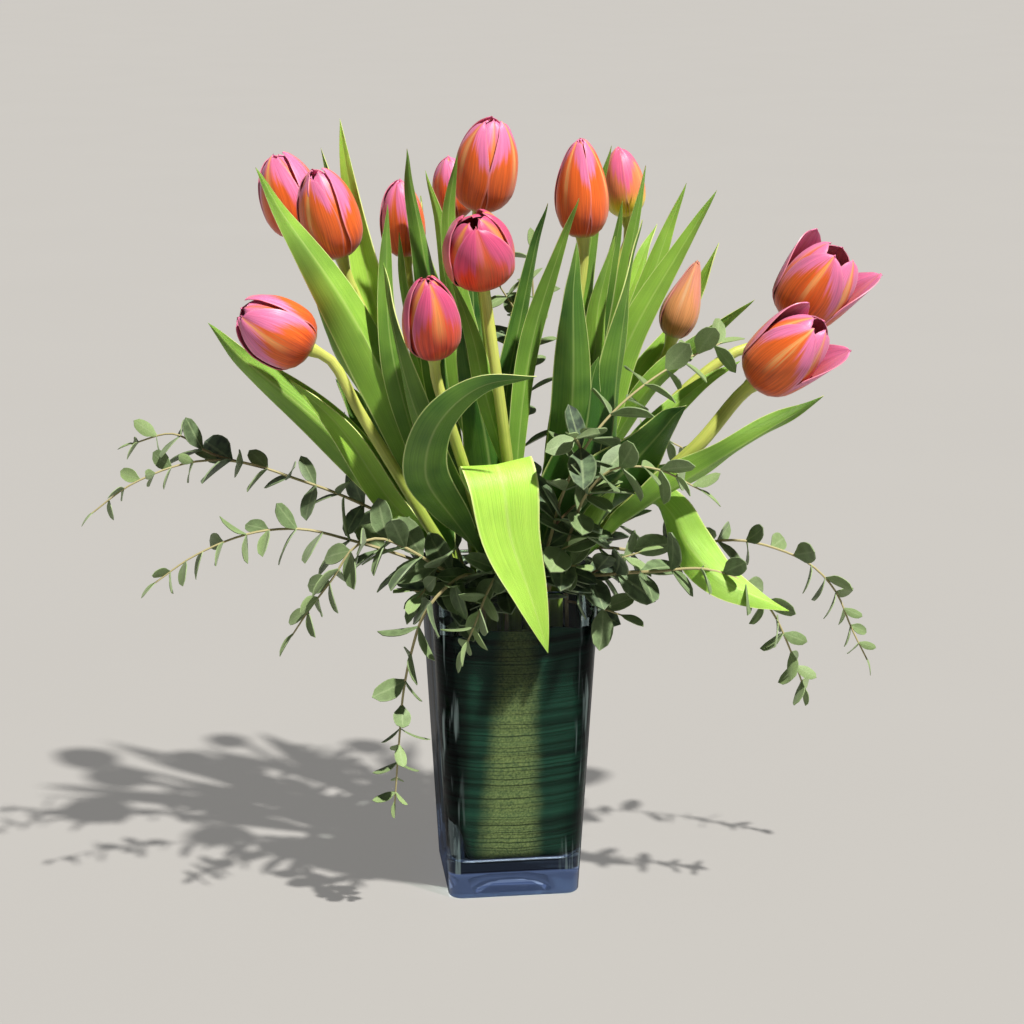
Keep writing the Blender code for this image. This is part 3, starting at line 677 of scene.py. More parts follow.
@dataclass(frozen=True)
class LeafFinish(Finish):
    """Long leaves with fine parallel veins, a thin pale margin and a foot darkened by painted
    shade.
    """

    young: Colour = paint(178, 224, 88)
    old: Colour = paint(34, 80, 24)
    margin: Colour = paint(226, 240, 156)
    # painted shade at the foot, low in the bouquet
    foot: Colour = paint(64, 100, 44)
    bloom: Colour = paint(100, 152, 62)        # the waxy outer side
    waxy: float = 0.25             # strength of that
    uneven: float = 0.22           # how far broad streaks change its age
    midrib: tuple[float, float, float] = (0.09, 0.0, 0.22)     # edge, middle and strength
    painted_shade_foot: tuple[float, float, float] = (0.30, 0.0, 0.6)   # painted shade at the foot: end, start and strength
    rim: float = 0.85
    patches: float = 28.0          # in a metre
    rough: tuple[float, float] = (0.1, 0.1)
    grain: Grain = Grain(0.08, 170.0, 2.5, (0.74, 0.80, 0.68), (1.16, 1.12, 1.14))
    settings: tuple[tuple[str, object], ...] = (
        ("Subsurface Weight", 0.22), ("Subsurface Radius", (0.5, 1.0, 0.15)),
        ("Subsurface Scale", 0.0015), ("Specular IOR Level", 0.38))

    def paint(self, book: Book) -> dict[str, Value]:
        """Green that differs from leaf to leaf, pale at the margin, and darkened at the foot by
        painted shade.
        """
        at = book.sheet(self.grain)
        patch, speck = MOTTLE.on(book, book.place(), self.patches)
        age = (at.tone + (at.broad - 0.5) * self.uneven) + (patch - 0.5)
        colour = book.mix(age, self.old, self.young)
        colour = book.mix((1.0 - book.stored("side")) * self.waxy, colour, self.bloom)
        colour = book.shade(colour, at.streak, self.grain)
        # a pale midrib, then painted shade at the foot
        for place, (end, start, strength), tint in ((at.across, self.midrib, self.margin),
                                                    (at.along, self.painted_shade_foot, self.foot)):
            colour = book.mix(place.mask(end, start) * strength, colour, tint)
        colour = book.mix(at.rim * self.rim, colour, self.margin)
        return {"Base Color": colour, "Normal": book.bump(at.streak, 0.5),
                "Roughness": book.between(speck, self.roughness, *self.rough)}


@dataclass(frozen=True)
class StemFinish(Finish):
    """Round stems, paler towards the bloom."""

    low: Colour = paint(118, 152, 50)
    high: Colour = paint(198, 204, 104)
    turns: tuple[float, float] = (0.45, 1.15)  # where it starts to turn paler and is palest
    patches: float = 60.0          # in a metre
    grain: Grain = Grain(0.1, 22.0, 9.0, (0.84, 0.86, 0.80), (1.1, 1.08, 1.05), (0.3, 0.7))
    settings: tuple[tuple[str, object], ...] = (
        ("Subsurface Weight", 0.2), ("Subsurface Radius", (0.6, 1.0, 0.3)),
        ("Subsurface Scale", 0.002), ("Specular IOR Level", 0.45))

    def paint(self, book: Book) -> dict[str, Value]:
        """Lengthwise streaks and a slow change of colour along the stem."""
        at = book.sheet(self.grain)
        patch, _ = MOTTLE.on(book, book.place(), self.patches)
        colour = book.mix((at.along + patch * 0.3).mask(*self.turns), self.low, self.high)
        colour = book.shade(colour, at.streak, self.grain)
        return {"Base Color": colour, "Normal": book.bump(at.streak, 0.2)}


@dataclass(frozen=True)
class SmallLeafFinish(Finish):
    """Small grey-green leaves, fresher towards the tips of the sprays."""

    old: Colour = paint(84, 106, 76)
    dark: Colour = paint(38, 56, 42)
    young: Colour = paint(148, 172, 112)
    vein: Colour = paint(150, 168, 124)
    midrib: tuple[float, float, float] = (0.16, 0.02, 0.5)     # edge, middle and strength
    rim: float = 0.4
    patches: float = 160.0         # in a metre
    grain: Grain = Grain(0.16, 12.0, 9.0, (0.78, 0.80, 0.76), (1.12, 1.12, 1.1), (0.30, 0.70))
    settings: tuple[tuple[str, object], ...] = (
        ("Sheen Weight", 0.1), ("Specular IOR Level", 0.4))

    def paint(self, book: Book) -> dict[str, Value]:
        """Speckled green with a pale midrib and rim."""
        at = book.sheet(self.grain)
        patch, speck = MOTTLE.on(book, book.place(), self.patches)
        grey = book.mix(patch.mask(0.35, 0.65), self.dark, self.old)
        colour = book.mix(at.tone, grey, self.young)
        end, start, strength = self.midrib
        colour = book.mix(at.across.mask(end, start) * strength, colour, self.vein)
        colour = book.mix(at.rim * self.rim, colour, self.vein)
        colour = book.shade(colour, speck, self.grain)
        return {"Base Color": colour, "Normal": book.bump(speck, 0.15)}


@dataclass(frozen=True)
class TwigFinish(Finish):
    """Thin twigs, brown at the foot and straw-coloured above."""

    low: Colour = paint(116, 92, 62)
    high: Colour = paint(172, 162, 116)
    turns: tuple[float, float] = (0.35, 0.95)  # where it starts to turn paler and is palest
    grain: Grain = Grain(0.1, 6.0, 60.0)

    def paint(self, book: Book) -> dict[str, Value]:
        """Change of colour along the twig, with small marks."""
        at = book.sheet(self.grain)
        colour = book.mix((at.along + at.streak * 0.4).mask(*self.turns), self.low, self.high)
        return {"Base Color": colour, "Normal": book.bump(at.streak, 0.15)}


@dataclass(frozen=True)
class RolledLeafFinish(Finish):
    """Broad dark leaf with fine cross veins and a paler stripe down its middle."""

    dark: Colour = paint(10, 26, 20)
    green: Colour = paint(28, 65, 50)
    stripe: Colour = paint(124, 138, 84)
    middle: float = -1.5           # millimetres, where the stripe runs at half height
    half_width: float = 13.5       # at half height
    flare: float = 0.055           # how much wider it grows for each millimetre lower
    soft: float = 6.5              # how far its edge fades each way
    bands: tuple[float, float] = (150.0, 760.0)   # broad bands and fine veins in a metre
    half_height: float = 0.1       # metres
    patches: float = 55.0          # in a metre
    sag: float = 2.6               # how far its veins sink towards the corners
    uneven: float = 0.0022         # how far patches push them about, in metres
    lean: float = 0.03             # slant of the stripe
    ragged: float = 0.006          # how far patches push its edge about, in metres
    front: tuple[float, float] = (0.0, -0.02)  # the stripe shows on the front side only
    speckle: tuple[float, float] = (0.30, 0.6) # least strength of the stripe, and specks' part
    bands_ends: tuple[float, float] = (0.34, 0.62)
    veins_ends: tuple[float, float] = (0.52, 0.36)
    veins: float = 0.85

    def paint(self, book: Book) -> dict[str, Value]:
        """Cross veins that sag at the corners, and a speckled stripe at the front."""
        x, y, z = book.split(book.place())
        patch, speck = MOTTLE.on(book, book.place(), self.patches)
        sag = (z - x * x * self.sag) + patch * self.uneven
        broad, fine = (
            book.noise(book.value("ShaderNodeCombineXYZ", {0: x * 2.0, 1: 0.0, 2: sag * often}),
                       1.0, 3.0) for often in self.bands)
        colour = book.mix(broad.mask(*self.bands_ends), self.dark, self.green)
        off = (x + (self.half_height - z) * self.lean) - self.middle * MM
        off = abs(off + (patch - 0.5) * self.ragged) + (z - self.half_height) * self.flare
        stripe = off.mask((self.half_width + self.soft) * MM, (self.half_width - self.soft) * MM)
        least, specks = self.speckle
        stripe = stripe * y.mask(*self.front) * (least + speck.mask(0.25, 0.75) * specks)
        colour = book.mix(stripe, colour, self.stripe)
        colour = book.mix(fine.mask(*self.veins_ends) * self.veins, colour, self.dark)
        return {"Base Color": colour, "Normal": book.bump(fine, 0.3)}


@dataclass(frozen=True)
class GlassFinish(Finish):
    """Clear glass that lets lamps through, with blue painted into its thick floor as a painted
    reflection of the sky, painted light in its floor and corners, and painted shade in its
    corners, at its edges and in a band over its floor.
    """

    clear: Colour = (0.93, 0.97, 0.96, 1.0)
    corner: Colour = (0.07, 0.11, 0.12, 1.0)   # painted shade in the corners, where the lining curves away behind it
    under: Colour = (0.003, 0.005, 0.009, 1.0)  # painted shade: a dark band between the lining and the blue
    brink: Colour = (0.08, 0.11, 0.16, 1.0)    # painted shade: what a glancing look lets through
    edge: Colour = (0.10, 0.15, 0.17, 1.0)     # painted shade where it is seen at a glancing angle
    # painted reflection: the sky seen in its thick floor, laid on as blue
    floor: Colour = (0.36, 0.48, 0.72, 1.0)
    painted_glow: Colour = (0.024, 0.034, 0.064, 1.0)  # painted light: emission that stands in for light gathered in its floor
    streaks: Colour = (0.10, 0.13, 0.12, 1.0)  # painted light: pale streaks that stand in for light gathered in its corners
    black: Colour = (0.0, 0.0, 0.0, 1.0)
    shadow: Colour = (0.86, 0.9, 0.88, 1.0)    # what it lets through to what stands inside
    top: float = 17.3              # millimetres, where the painted blue reflection ends
    bottom: float = 25.0           # where the lining shows first
    blue_soft: float = 0.8         # how far the blue's edge fades each way
    under_soft: float = 1.6        # and the painted dark band's upwards
    reach: tuple[float, float] = (68.0, 75.0)  # |x| + |y| at the foot where the painted corner shade starts and is full
    flare: float = 0.1034          # how much |x| + |y| grows for each millimetre of height
    wander: tuple[float, float, float] = (0.06, 90.0, 0.012)   # of that edge: stretch, scale, way
    thin: tuple[float, float] = (0.035, 300.0) # stretch and scale of the painted pale streaks
    thin_ends: tuple[float, float] = (0.55, 0.68)
    edge_ends: tuple[float, float] = (0.45, 0.98)      # how glancing a look darkens the edge with painted shade
    brink_ends: tuple[float, float] = (0.60, 0.90)     # and shows the painted dark brink
    brink_part: float = 0.85
    settings: tuple[tuple[str, object], ...] = (
        ("Transmission Weight", 1.0), ("IOR", 1.5), ("Emission Strength", 1.0),
        ("Specular Tint", (0.12, 0.13, 0.14, 1.0)))

    @staticmethod
    def facing(book: Book) -> Value:
        """How far the surface turns away from the look."""
        return book.value("ShaderNodeLayerWeight", {"Blend": 0.5}, "Facing")

    def paint(self, book: Book) -> dict[str, Value]:
        """Painted blue reflection below the cavity, painted shade in the corners, at the edges
        and in a dark band, and painted light in the floor and corners.
        """
        x, y, height = book.split(book.place())
        stretch, scale, way = self.wander
        span = (abs(x) + abs(y)) - height * self.flare
        span = span + (book.noise(book.drawn_out(stretch), scale) - 0.5) * way
        # painted shade in the corners
        corner = span.mask(self.reach[0] * MM, self.reach[1] * MM)
        # where the floor's painted blue reflection and painted light lie
        low = height.mask((self.top + self.blue_soft) * MM, (self.top - self.blue_soft) * MM)
        # painted shade: a dark band above the floor
        band = height.mask((self.bottom + self.under_soft) * MM, self.bottom * MM)
        colour = book.mix(corner, self.clear, self.corner)
        colour = book.mix(band, colour, self.under)
        colour = book.mix(low, colour, self.floor)
        # painted shade at a glancing look
        colour = book.mix(self.facing(book).mask(*self.edge_ends), colour, self.edge)
        stretch, scale = self.thin
        thin = book.noise(book.drawn_out(stretch), scale).mask(*self.thin_ends)
        # painted light: pale streaks in the corners, and emission in the floor
        painted_glow = book.mix(low, book.mix(thin * corner, self.black, self.streaks), self.painted_glow)
        patch, _ = MOTTLE.on(book, book.place(), 26.0)
        return {"Base Color": colour, "Emission Color": painted_glow,
                "Normal": book.bump(patch, 0.6, 0.35)}

    def cover(self, book: Book, shader: bpy.types.Node) -> None:
        """Painted shade at a glancing look, and open to lamps."""
        # a dark see-through shader, mixed in at a glancing look as painted shade
        dark = book.value("ShaderNodeBsdfTransparent", {0: self.brink})
        brink = self.facing(book).mask(*self.brink_ends) * self.brink_part
        glass = book.value("ShaderNodeMixShader", {0: brink, 1: shader.outputs[0], 2: dark})
        lamp = book.value("ShaderNodeLightPath", {}, "Is Shadow Ray")
        open_way = book.value("ShaderNodeBsdfTransparent", {0: self.shadow})
        both = book.value("ShaderNodeMixShader", {0: lamp, 1: glass, 2: open_way})
        book.join(both, book.tree.nodes["Material Output"].inputs["Surface"])


@dataclass(frozen=True)
class WaterFinish(Finish):
    """Still water, faintly green."""

    pale: Colour = (0.93, 0.97, 0.93, 1.0)
    cloudy: Colour = (0.86, 0.93, 0.84, 1.0)
    settings: tuple[tuple[str, object], ...] = (("Transmission Weight", 1.0), ("IOR", 1.33))

    def paint(self, book: Book) -> dict[str, Value]:
        """Slightly cloudy in places."""
        patch, _ = MOTTLE.on(book, book.place(), 40.0)
        return {"Base Color": book.mix(patch, self.pale, self.cloudy)}


@dataclass(frozen=True)
class HeartFinish(Finish):
    """The small parts inside an open bloom."""

    ends: Colour = paint(46, 24, 40)
    stalks: Colour = paint(196, 200, 110)
    turns: tuple[float, float] = (0.56, 0.64)  # where a stalk ends
    grain: Grain = Grain(0.1, 8.0, 12.0)

    def paint(self, book: Book) -> dict[str, Value]:
        """Dark ends on pale stalks."""
        at = book.sheet(self.grain)
        rise = at.along + at.streak * 0.1
        return {"Base Color": book.mix(rise.mask(*self.turns), self.stalks, self.ends)}


@dataclass(frozen=True)
class FloorFinish(Finish):
    """Plain pale floor with a little light of its own, so that shadows stay soft."""

    pale: Colour = (0.213, 0.207, 0.198, 1.0)
    other: Colour = (0.223, 0.217, 0.208, 1.0)
    settings: tuple[tuple[str, object], ...] = (
        ("Emission Color", (0.202, 0.196, 0.187, 1.0)), ("Emission Strength", 1.0))

    def paint(self, book: Book) -> dict[str, Value]:
        """Almost even."""
        return {"Base Color": book.mix(book.noise(book.place(), 3.0), self.pale, self.other)}


class Petals(Enum):
    """The blooms' mixes of colour."""

    ROSE = PetalFinish("petals_rose", 0.40, pink=paint(206, 80, 122), flame=paint(222, 74, 40),
                       deep=paint(172, 32, 30), rib=paint(248, 156, 84), rib_width=0.34,
                       red=1.0, width=1.25, low=0.08)
    PINK = PetalFinish("petals_pink", 0.40, width=1.08, low=0.10)
    FLAME = PetalFinish("petals_flame", 0.40, width=1.7, low=0.2)
    SUNNY = PetalFinish("petals_sunny", 0.40, pink=paint(236, 110, 150),
                        flame=paint(242, 140, 90), deep=paint(240, 190, 60),
                        base=paint(246, 230, 48), foot=(0.46, 0.16), width=1.3, low=0.25)
    BUD = PetalFinish("petals_bud", 0.5, pink=paint(214, 140, 112), flame=paint(214, 146, 92),
                      deep=paint(184, 122, 66), rib=paint(226, 176, 130),
                      base=paint(140, 150, 66), width=1.2)


LEAF = LeafFinish("tulip_leaf", 0.45)
STEM = StemFinish("tulip_stem", 0.42)
SMALL_LEAF = SmallLeafFinish("eucalyptus_leaf", 0.55)
TWIG = TwigFinish("eucalyptus_twig", 0.6)
ROLLED = RolledLeafFinish("lining_leaf_bands", 0.32, (("Specular IOR Level", 0.08),))
GLASS = GlassFinish("vase_glass", 0.0)
WATER = WaterFinish("vase_water", 0.02)
HEART = HeartFinish("bloom_heart", 0.6)
FLOOR = FloorFinish("studio_floor", 0.9)


@dataclass(frozen=True)
class Vase:
    """Tapered square vase of thick glass with rounded corners."""

    height: float = 203.0
    top: float = 104.0             # outer side at the rim
    foot: float = 83.0             # outer side at the underside
    wall: float = 5.5
    floor: float = 22.0            # thickness of the solid glass floor
    corner: float = 9.0            # outer corner radius at the foot
    corner_steps: int = 6
    cavity_round: float = 6.0
    edge_round: float = 1.3
    edge_angle: float = 50.0       # edges sharper than this are rounded
    smooth_angle: float = 32.0
    punt: tuple[tuple[float, float], ...] = ((25.0, 0.0), (23.0, 1.6), (16.0, 4.2), (8.0, 5.4))

    def half(self, height: float) -> float:
        """Half the outer side at a height."""
        return blend(self.foot, self.top, height / self.height) / 2

    def build(self) -> None:
        """Raise the walls from the foot, turn in the rim, sink the cavity and hollow the base."""
        Hand.drop_all()
        bpy.ops.mesh.primitive_plane_add(size=self.foot * MM)
        piece = bpy.context.object
        piece.name = "glass_vase"
        bpy.ops.object.mode_set(mode="EDIT")
        bpy.ops.mesh.select_all(action="SELECT")
        bpy.ops.mesh.bevel(offset=self.corner * MM, segments=self.corner_steps, affect="VERTICES")
        self.lift(self.height, self.top / self.foot)
        inner_top = 1 - 2 * self.wall / self.top
        self.lift(0.0, inner_top)
        cavity = self.half(self.floor) - self.wall
        self.lift(self.floor - self.height, cavity / (self.top / 2 * inner_top))
        bpy.ops.mesh.region_to_loop()
        bpy.ops.mesh.bevel(offset=self.cavity_round * MM, segments=5, affect="EDGES")
        bpy.ops.object.mode_set(mode="OBJECT")
        rounding = piece.modifiers.new("edges", "BEVEL")
        rounding.width = self.edge_round * MM
        rounding.segments = 3
        rounding.angle_limit = math.radians(self.edge_angle)
        bpy.ops.object.modifier_apply(modifier=rounding.name)
        self.hollow(piece)
        Hand.merge(piece, outward=True)
        Hand.dress(piece, GLASS, self.smooth_angle)
        Hand.settle(piece, "glass", ["vase"])

    def lift(self, rise: float, scale: float) -> None:
        """Extrude what is selected by a height and scale it about the axis."""
        bpy.ops.mesh.extrude_region_move(TRANSFORM_OT_translate={"value": (0, 0, rise * MM)})
        bpy.ops.transform.resize(value=(scale, scale, 1.0), center_override=(0, 0, 0))

    def hollow(self, piece: Shape) -> None:
        """Sink a shallow round dome into the flat underside."""
        Hand.select_faces(piece, lambda face: face.center.z < WELD and len(face.vertices) > 8)
        self.lift(0.0, self.punt[0][0] / (self.foot / 2))
        bpy.ops.transform.tosphere(value=1.0)
        for (wide, low), (narrow, high) in zip(self.punt, self.punt[1:]):
            self.lift(high - low, narrow / wide)
        bpy.ops.mesh.poke()
        bpy.ops.object.mode_set(mode="OBJECT")


@dataclass(frozen=True)
class RolledLeaf:
    """Broad leaf rolled inside the glass, its ends lapped at the back."""

    vase: Vase
    top: float = 177.0
    wave: float = 2.5              # rise and fall of its upper edge
    nick: float = 0.5              # the same in small
    thick: float = 0.9
    seat: float = 0.4              # its foot stands this far above the vase's floor
    cling: float = 0.3             # how far its wet outer side sinks into the glass
    corner: float = 6.5
    pinch: float = 0.20            # how far it draws in on the left at its foot
    pinch_top: float = 58.0
    pinch_height: float = 36.0
    overlap: float = 26.0
    lap: float = 1.6               # how far the inner end steps in
    buckle: float = 0.25           # how unevenly it lies against the glass
    columns: int = 132
    rows: int = 26

    @staticmethod
    def round_square(half: float, corner: float, reach: float) -> tuple[float, float]:
        """Point on a square with rounded corners.

        Args:
            half: half its side.
            corner: its corner radius.
            reach: distance along it from the middle of its back, towards the left.

        Returns:
            The point's place to the right and to the back.
        """
        flat = half - corner
        quarter = 2 * flat + math.pi * corner / 2
        side, local = divmod(reach + flat, quarter)
        if local < 2 * flat:
            x, y = flat - local, half
        else:
            angle = (local - 2 * flat) / corner
            x, y = -flat - corner * math.sin(angle), flat + corner * math.cos(angle)
        turn = math.radians(90) * side
        return (x * math.cos(turn) - y * math.sin(turn),
                x * math.sin(turn) + y * math.cos(turn))

    def place(self, across: float, along: float) -> Vector:
        """Point of the roll's middle surface."""
        turn = (across + 1) / 2
        crest = self.top + self.wave * math.sin(4 * math.pi * turn + 1.0)
        crest += self.nick * math.sin(19 * math.pi * turn)
        height = blend(self.vase.floor + self.seat, crest, along)
        half = self.vase.half(height) - self.vase.wall + self.cling - self.thick / 2
        near = max(0.0, 1 - (height - self.vase.floor) / self.vase.cavity_round)
        half -= self.vase.cavity_round * (1 - math.sqrt(1 - near * near))
        whole = 8 * (half - self.corner) + 2 * math.pi * self.corner
        reach = blend(-self.overlap / 2, whole + self.overlap / 2, turn)
        inset = self.lap * ramp(whole - self.overlap, whole - self.overlap / 2 - 2, reach)
        inset += self.buckle * (1 + math.sin(7 * math.pi * turn + 2 * along)) / 2
        x, y = self.round_square(half - inset, self.corner - inset, reach)
        if x < 0:
            x *= 1 - self.pinch * ramp(0, self.pinch_height, self.pinch_top - height)
        return Vector((x, y, height))

    def build(self) -> None:
        """Roll the sheet and give it its thickness."""
        piece = Hand.grid("rolled_leaf_sheet", self.columns, self.rows, self.place)
        Hand.two_sided(piece, self.thick)
        Hand.dress(piece, ROLLED)
        Hand.settle(piece, "rolled_leaf", ["lining_leaf"])


@dataclass(frozen=True)
class Stalks:
    """How every stem stands in the vase, and the sizes that stems share."""

    vase: Vase
    feet: float = 0.66             # spread of the feet as a share of the spread at the mouth
    straight_top: float = 165.0    # the stems are straight up to this height
    radius: float = 4.0
    neck: float = 3.1              # radius under the bloom
    neck_length: float = 14.0
    swell: float = 1.6             # extra radius where the bloom sits
    swell_from: float = 0.975      # share of the stem where that starts
    into_bloom: float = 1.5
    ripple: float = 0.03           # how far its section is from round
    seat: float = 0.3              # the feet stand this far above the vase's floor
    sides: int = 14
    rings: int = 46

    def lower(self, slot: Point) -> list[Vector]:
        """Foot on the vase's floor, end of the straight part, and place in the mouth."""
        mouth = Vector((slot[0], slot[1], self.vase.height))
        foot = Vector((slot[0] * self.feet, slot[1] * self.feet,
                       self.vase.floor + self.seat))
        share = (self.straight_top - foot.z) / (mouth.z - foot.z)
        return [foot, foot.lerp(mouth, share), mouth]

    def slim(self, route: Path, low: float, high: float) -> Callable[[float], float]:
        """Radius that is even in the vase and changes from there to the stem's end."""
        bend = route.share_at_height(self.straight_top)
        return lambda share: blend(low, high, max(0.0, share - bend) / (1 - bend))


@dataclass(frozen=True)
class Blade:
    """One long leaf of a tulip."""

    root: float                    # height on the stem where it grows
    through: tuple[Point, ...]     # points that its midrib passes, the last one being its tip
    width: float
    faces: float = -90.0           # bearing of its outer face: 0 is +X, -90 the front
    twist: float = 0.0             # turn of the blade from root to tip
    fold: float = 22.0             # lift of each half of the blade from flat
    tone: float | None = None      # 0 is deep green and 1 is bright
    loose: float = 1.0             # how far chance turns and waves it

    thick: float = 0.7
    columns: int = 10
    rows: int = 46
    clasp: float = 46.0            # extra lift of its halves where it clasps the stem
    clasp_end: float = 0.24        # share of its length up to which it clasps
    most_fold: float = 76.0
    gap: float = 0.5               # from the stem to its foot
    leaves_stem: tuple[float, float] = (0.02, 0.22)    # shares where it bends away
    curls_from: float = 0.82
    waves_from: tuple[float, float] = (0.12, 0.4)
    waves_to: tuple[float, float] = (0.85, 1.0)
    halves_apart: float = 1.9      # how far one half's waves run ahead of the other's
    sway_pace: float = 5.5
    outline: Pairs = ((0.0, 0.34), (0.08, 0.46), (0.2, 0.76), (0.36, 1.0), (0.5, 1.0),
                      (0.68, 0.80), (0.84, 0.47), (0.94, 0.2), (1.0, 0.0))

    def build(self, name: str, stem: Path, girth: float) -> Shape:
        """Shape the blade from a grid, wrapped round the stem at its foot.

        Args:
            name: the new object's name.
            stem: the stem's middle line.
            girth: the stem's radius.

        Returns:
            The blade, with its thickness.
        """
        draw = random.Random(name)
        free_width = self.width * self.loose
        phase = draw.uniform(0, 2 * math.pi)
        ripple = draw.uniform(0.05, 0.11) * free_width
        waves = draw.uniform(1.4, 2.7)
        turn = self.twist + draw.uniform(-28, 28) * self.loose
        bow = draw.uniform(-0.12, 0.12) * free_width
        curl = draw.uniform(-2.0, 5.0) * self.loose
        sway = draw.uniform(-0.15, 0.15) * free_width
        route = Path.through([stem.at(stem.share_at_height(self.root)), *self.through])
        normal = on_ring(RIGHT, BACK, math.radians(self.faces))
        frames = []
        for row in range(self.rows + 1):
            share = row / self.rows
            axis = route.heading(share, 0.03)
            normal = square_to(normal, axis)
            facing = spun(turn * share, axis) @ normal
            out = (girth + self.gap) * (1 - ramp(*self.leaves_stem, share))
            out += bow * math.sin(4 * share) + curl * ramp(self.curls_from, 1.0, share) ** 2
            frames.append((route.at(share) + facing * out, facing, axis.cross(facing)))

        def place(across: float, along: float) -> Vector:
            """Point of the blade's middle surface."""
            centre, facing, side = frames[round(along * self.rows)]
            half = self.width / 2 * max(eased(self.outline, along), 0.0)
            lift = self.fold + self.clasp * (1 - ramp(0.0, self.clasp_end, along))
            lift = math.radians(min(lift, self.most_fold))
            reach = abs(across)
            wide = half * reach * math.cos(lift * reach ** 0.35)
            deep = half * reach ** 1.15 * math.sin(lift)
            free = ramp(*self.waves_from, along) * (1 - ramp(*self.waves_to, along))
            start = phase + (self.halves_apart if across > 0 else 0.0)
            deep += ripple * math.sin(2 * math.pi * waves * along + start) * reach ** 2 * free
            aside = math.copysign(wide, across)
            aside += sway * math.sin(self.sway_pace * along + phase) * free
            return centre + side * aside - facing * deep

        piece = Hand.grid(name, self.columns, self.rows, place)
        Hand.two_sided(piece, self.thick)
        tone = draw.uniform(0.05, 0.8) if self.tone is None else self.tone
        Hand.mark_all(piece, "tone", tone)
        Hand.dress(piece, LEAF)
        return piece


@dataclass(frozen=True)
class PetalForm:
    """Shape that the petals of every bloom share: millimetres, and shares of their length."""

    thick: float = 0.55
    columns: int = 16
    rows: int = 22
    step: float = 1.5              # the outer petals stand this far outside the inner ones
    shingle: float = 0.6           # each petal's one edge lies this far over the next one's
    wave: float = 0.35
    lip: float = 0.35              # how far an outer petal's edges stand off
    crease: float = 0.5            # depth of the groove along its midrib
    crease_width: float = 0.16
    tuck: float = 0.86             # an open petal curves this much more tightly
    inner: float = 0.55            # share of the opening that the inner petals have
    outer: float = 0.45            # and what the outer ones have besides
    point: float = 0.02            # how far its tip is drawn out
    seat: float = 0.3              # height of its foot over the stem's end
    crowding: float = 1.45         # how much closer its rows stand towards the tip
    narrows: tuple[float, float] = (0.3, 0.95)         # where a tapered bloom grows slim
    least_bend: float = 0.1
    stray: float = 5.0             # degrees
    tip_stray: float = 0.10
    looser: tuple[float, float] = (-0.02, 0.03)        # chance's part in the opening
    shorter: tuple[float, float] = (0.955, 1.0)
    widest: float = 68.0           # a petal spans at most this angle each way
    outline: Pairs = ((0.0, 0.16), (0.06, 0.42), (0.16, 0.74), (0.32, 0.98), (0.5, 1.04),
                      (0.66, 0.91), (0.8, 0.68), (0.9, 0.43), (0.96, 0.25), (1.0, 0.0))
    closed_reach: Pairs = ((0.0, 0.10), (0.05, 0.42), (0.12, 0.70), (0.24, 0.93), (0.38, 1.0),
                           (0.54, 0.97), (0.70, 0.83), (0.84, 0.59), (0.94, 0.33), (1.0, 0.10))
    closed_rise: Pairs = ((0.0, 0.0), (0.05, 0.02), (0.12, 0.08), (0.24, 0.20), (0.40, 0.37),
                          (0.56, 0.55), (0.72, 0.73), (0.86, 0.88), (0.95, 0.96), (1.0, 1.0))
    open_reach: Pairs = ((0.0, 0.10), (0.05, 0.38), (0.12, 0.64), (0.24, 0.90), (0.40, 1.06),
                         (0.56, 1.18), (0.72, 1.29), (0.86, 1.39), (0.95, 1.46), (1.0, 1.50))
    open_rise: Pairs = ((0.0, 0.0), (0.05, 0.02), (0.12, 0.07), (0.24, 0.17), (0.40, 0.33),
                        (0.56, 0.50), (0.72, 0.67), (0.86, 0.82), (0.95, 0.91), (1.0, 0.95))

    def middle(self, along: float, opening: float) -> tuple[float, float]:
        """Distance from the axis and height of a petal's midrib."""
        out = blend(eased(self.closed_reach, along), eased(self.open_reach, along), opening)
        up = blend(eased(self.closed_rise, along), eased(self.open_rise, along), opening)
        return out, up

    def standing_off(self, across: float, along: float, layer: int, phase: float) -> float:
        """How far a petal stands off its round form.

        Args:
            across: place from one edge (-1) to the other (1).
            along: place from foot (0) to tip (1).
            layer: 0 for an inner petal and 1 for an outer one.
            phase: where its wave starts.

        Returns:
            The distance outwards.
        """
        off = self.shingle * across * ramp(0.05, 0.3, along)
        off += self.wave * math.sin(5 * across + 4 * along + phase) * ramp(0.5, 1.0, along)
        off += self.lip * layer * abs(across) ** 4 * ramp(0.2, 0.5, along)
        off -= self.crease * math.exp(-(across / self.crease_width) ** 2) * ramp(0.08, 0.3, along)
        return off


FORM = PetalForm()


@dataclass(frozen=True)
class Heart:
    """Pistil and stamens, which show where a bloom is open."""

    shows_from: float = 0.25       # opening from which it is built
    pistil: float = 18.0           # height
    pistil_radius: float = 2.4
    pistil_head: float = 1.2       # extra radius
    pistil_ripple: float = 0.18    # its three lobes
    stamens: int = 6
    stamen: float = 19.0
    stamen_foot: float = 2.0
    ring: tuple[float, float] = (3.2, 6.5)     # distance of a stamen's ends from the axis
    stamen_radius: float = 0.5
    anther: float = 0.9            # extra radius
    rings: int = 10

    def pistil_at(self, share: float) -> float:
        """Radius of the pistil."""
        return self.pistil_radius + self.pistil_head * ramp(0.8, 0.95, share)

    def stamen_at(self, share: float) -> float:
        """Radius of a stamen."""
        return self.stamen_radius + self.anther * ramp(0.56, 0.62, share)


HEART_FORM = Heart()


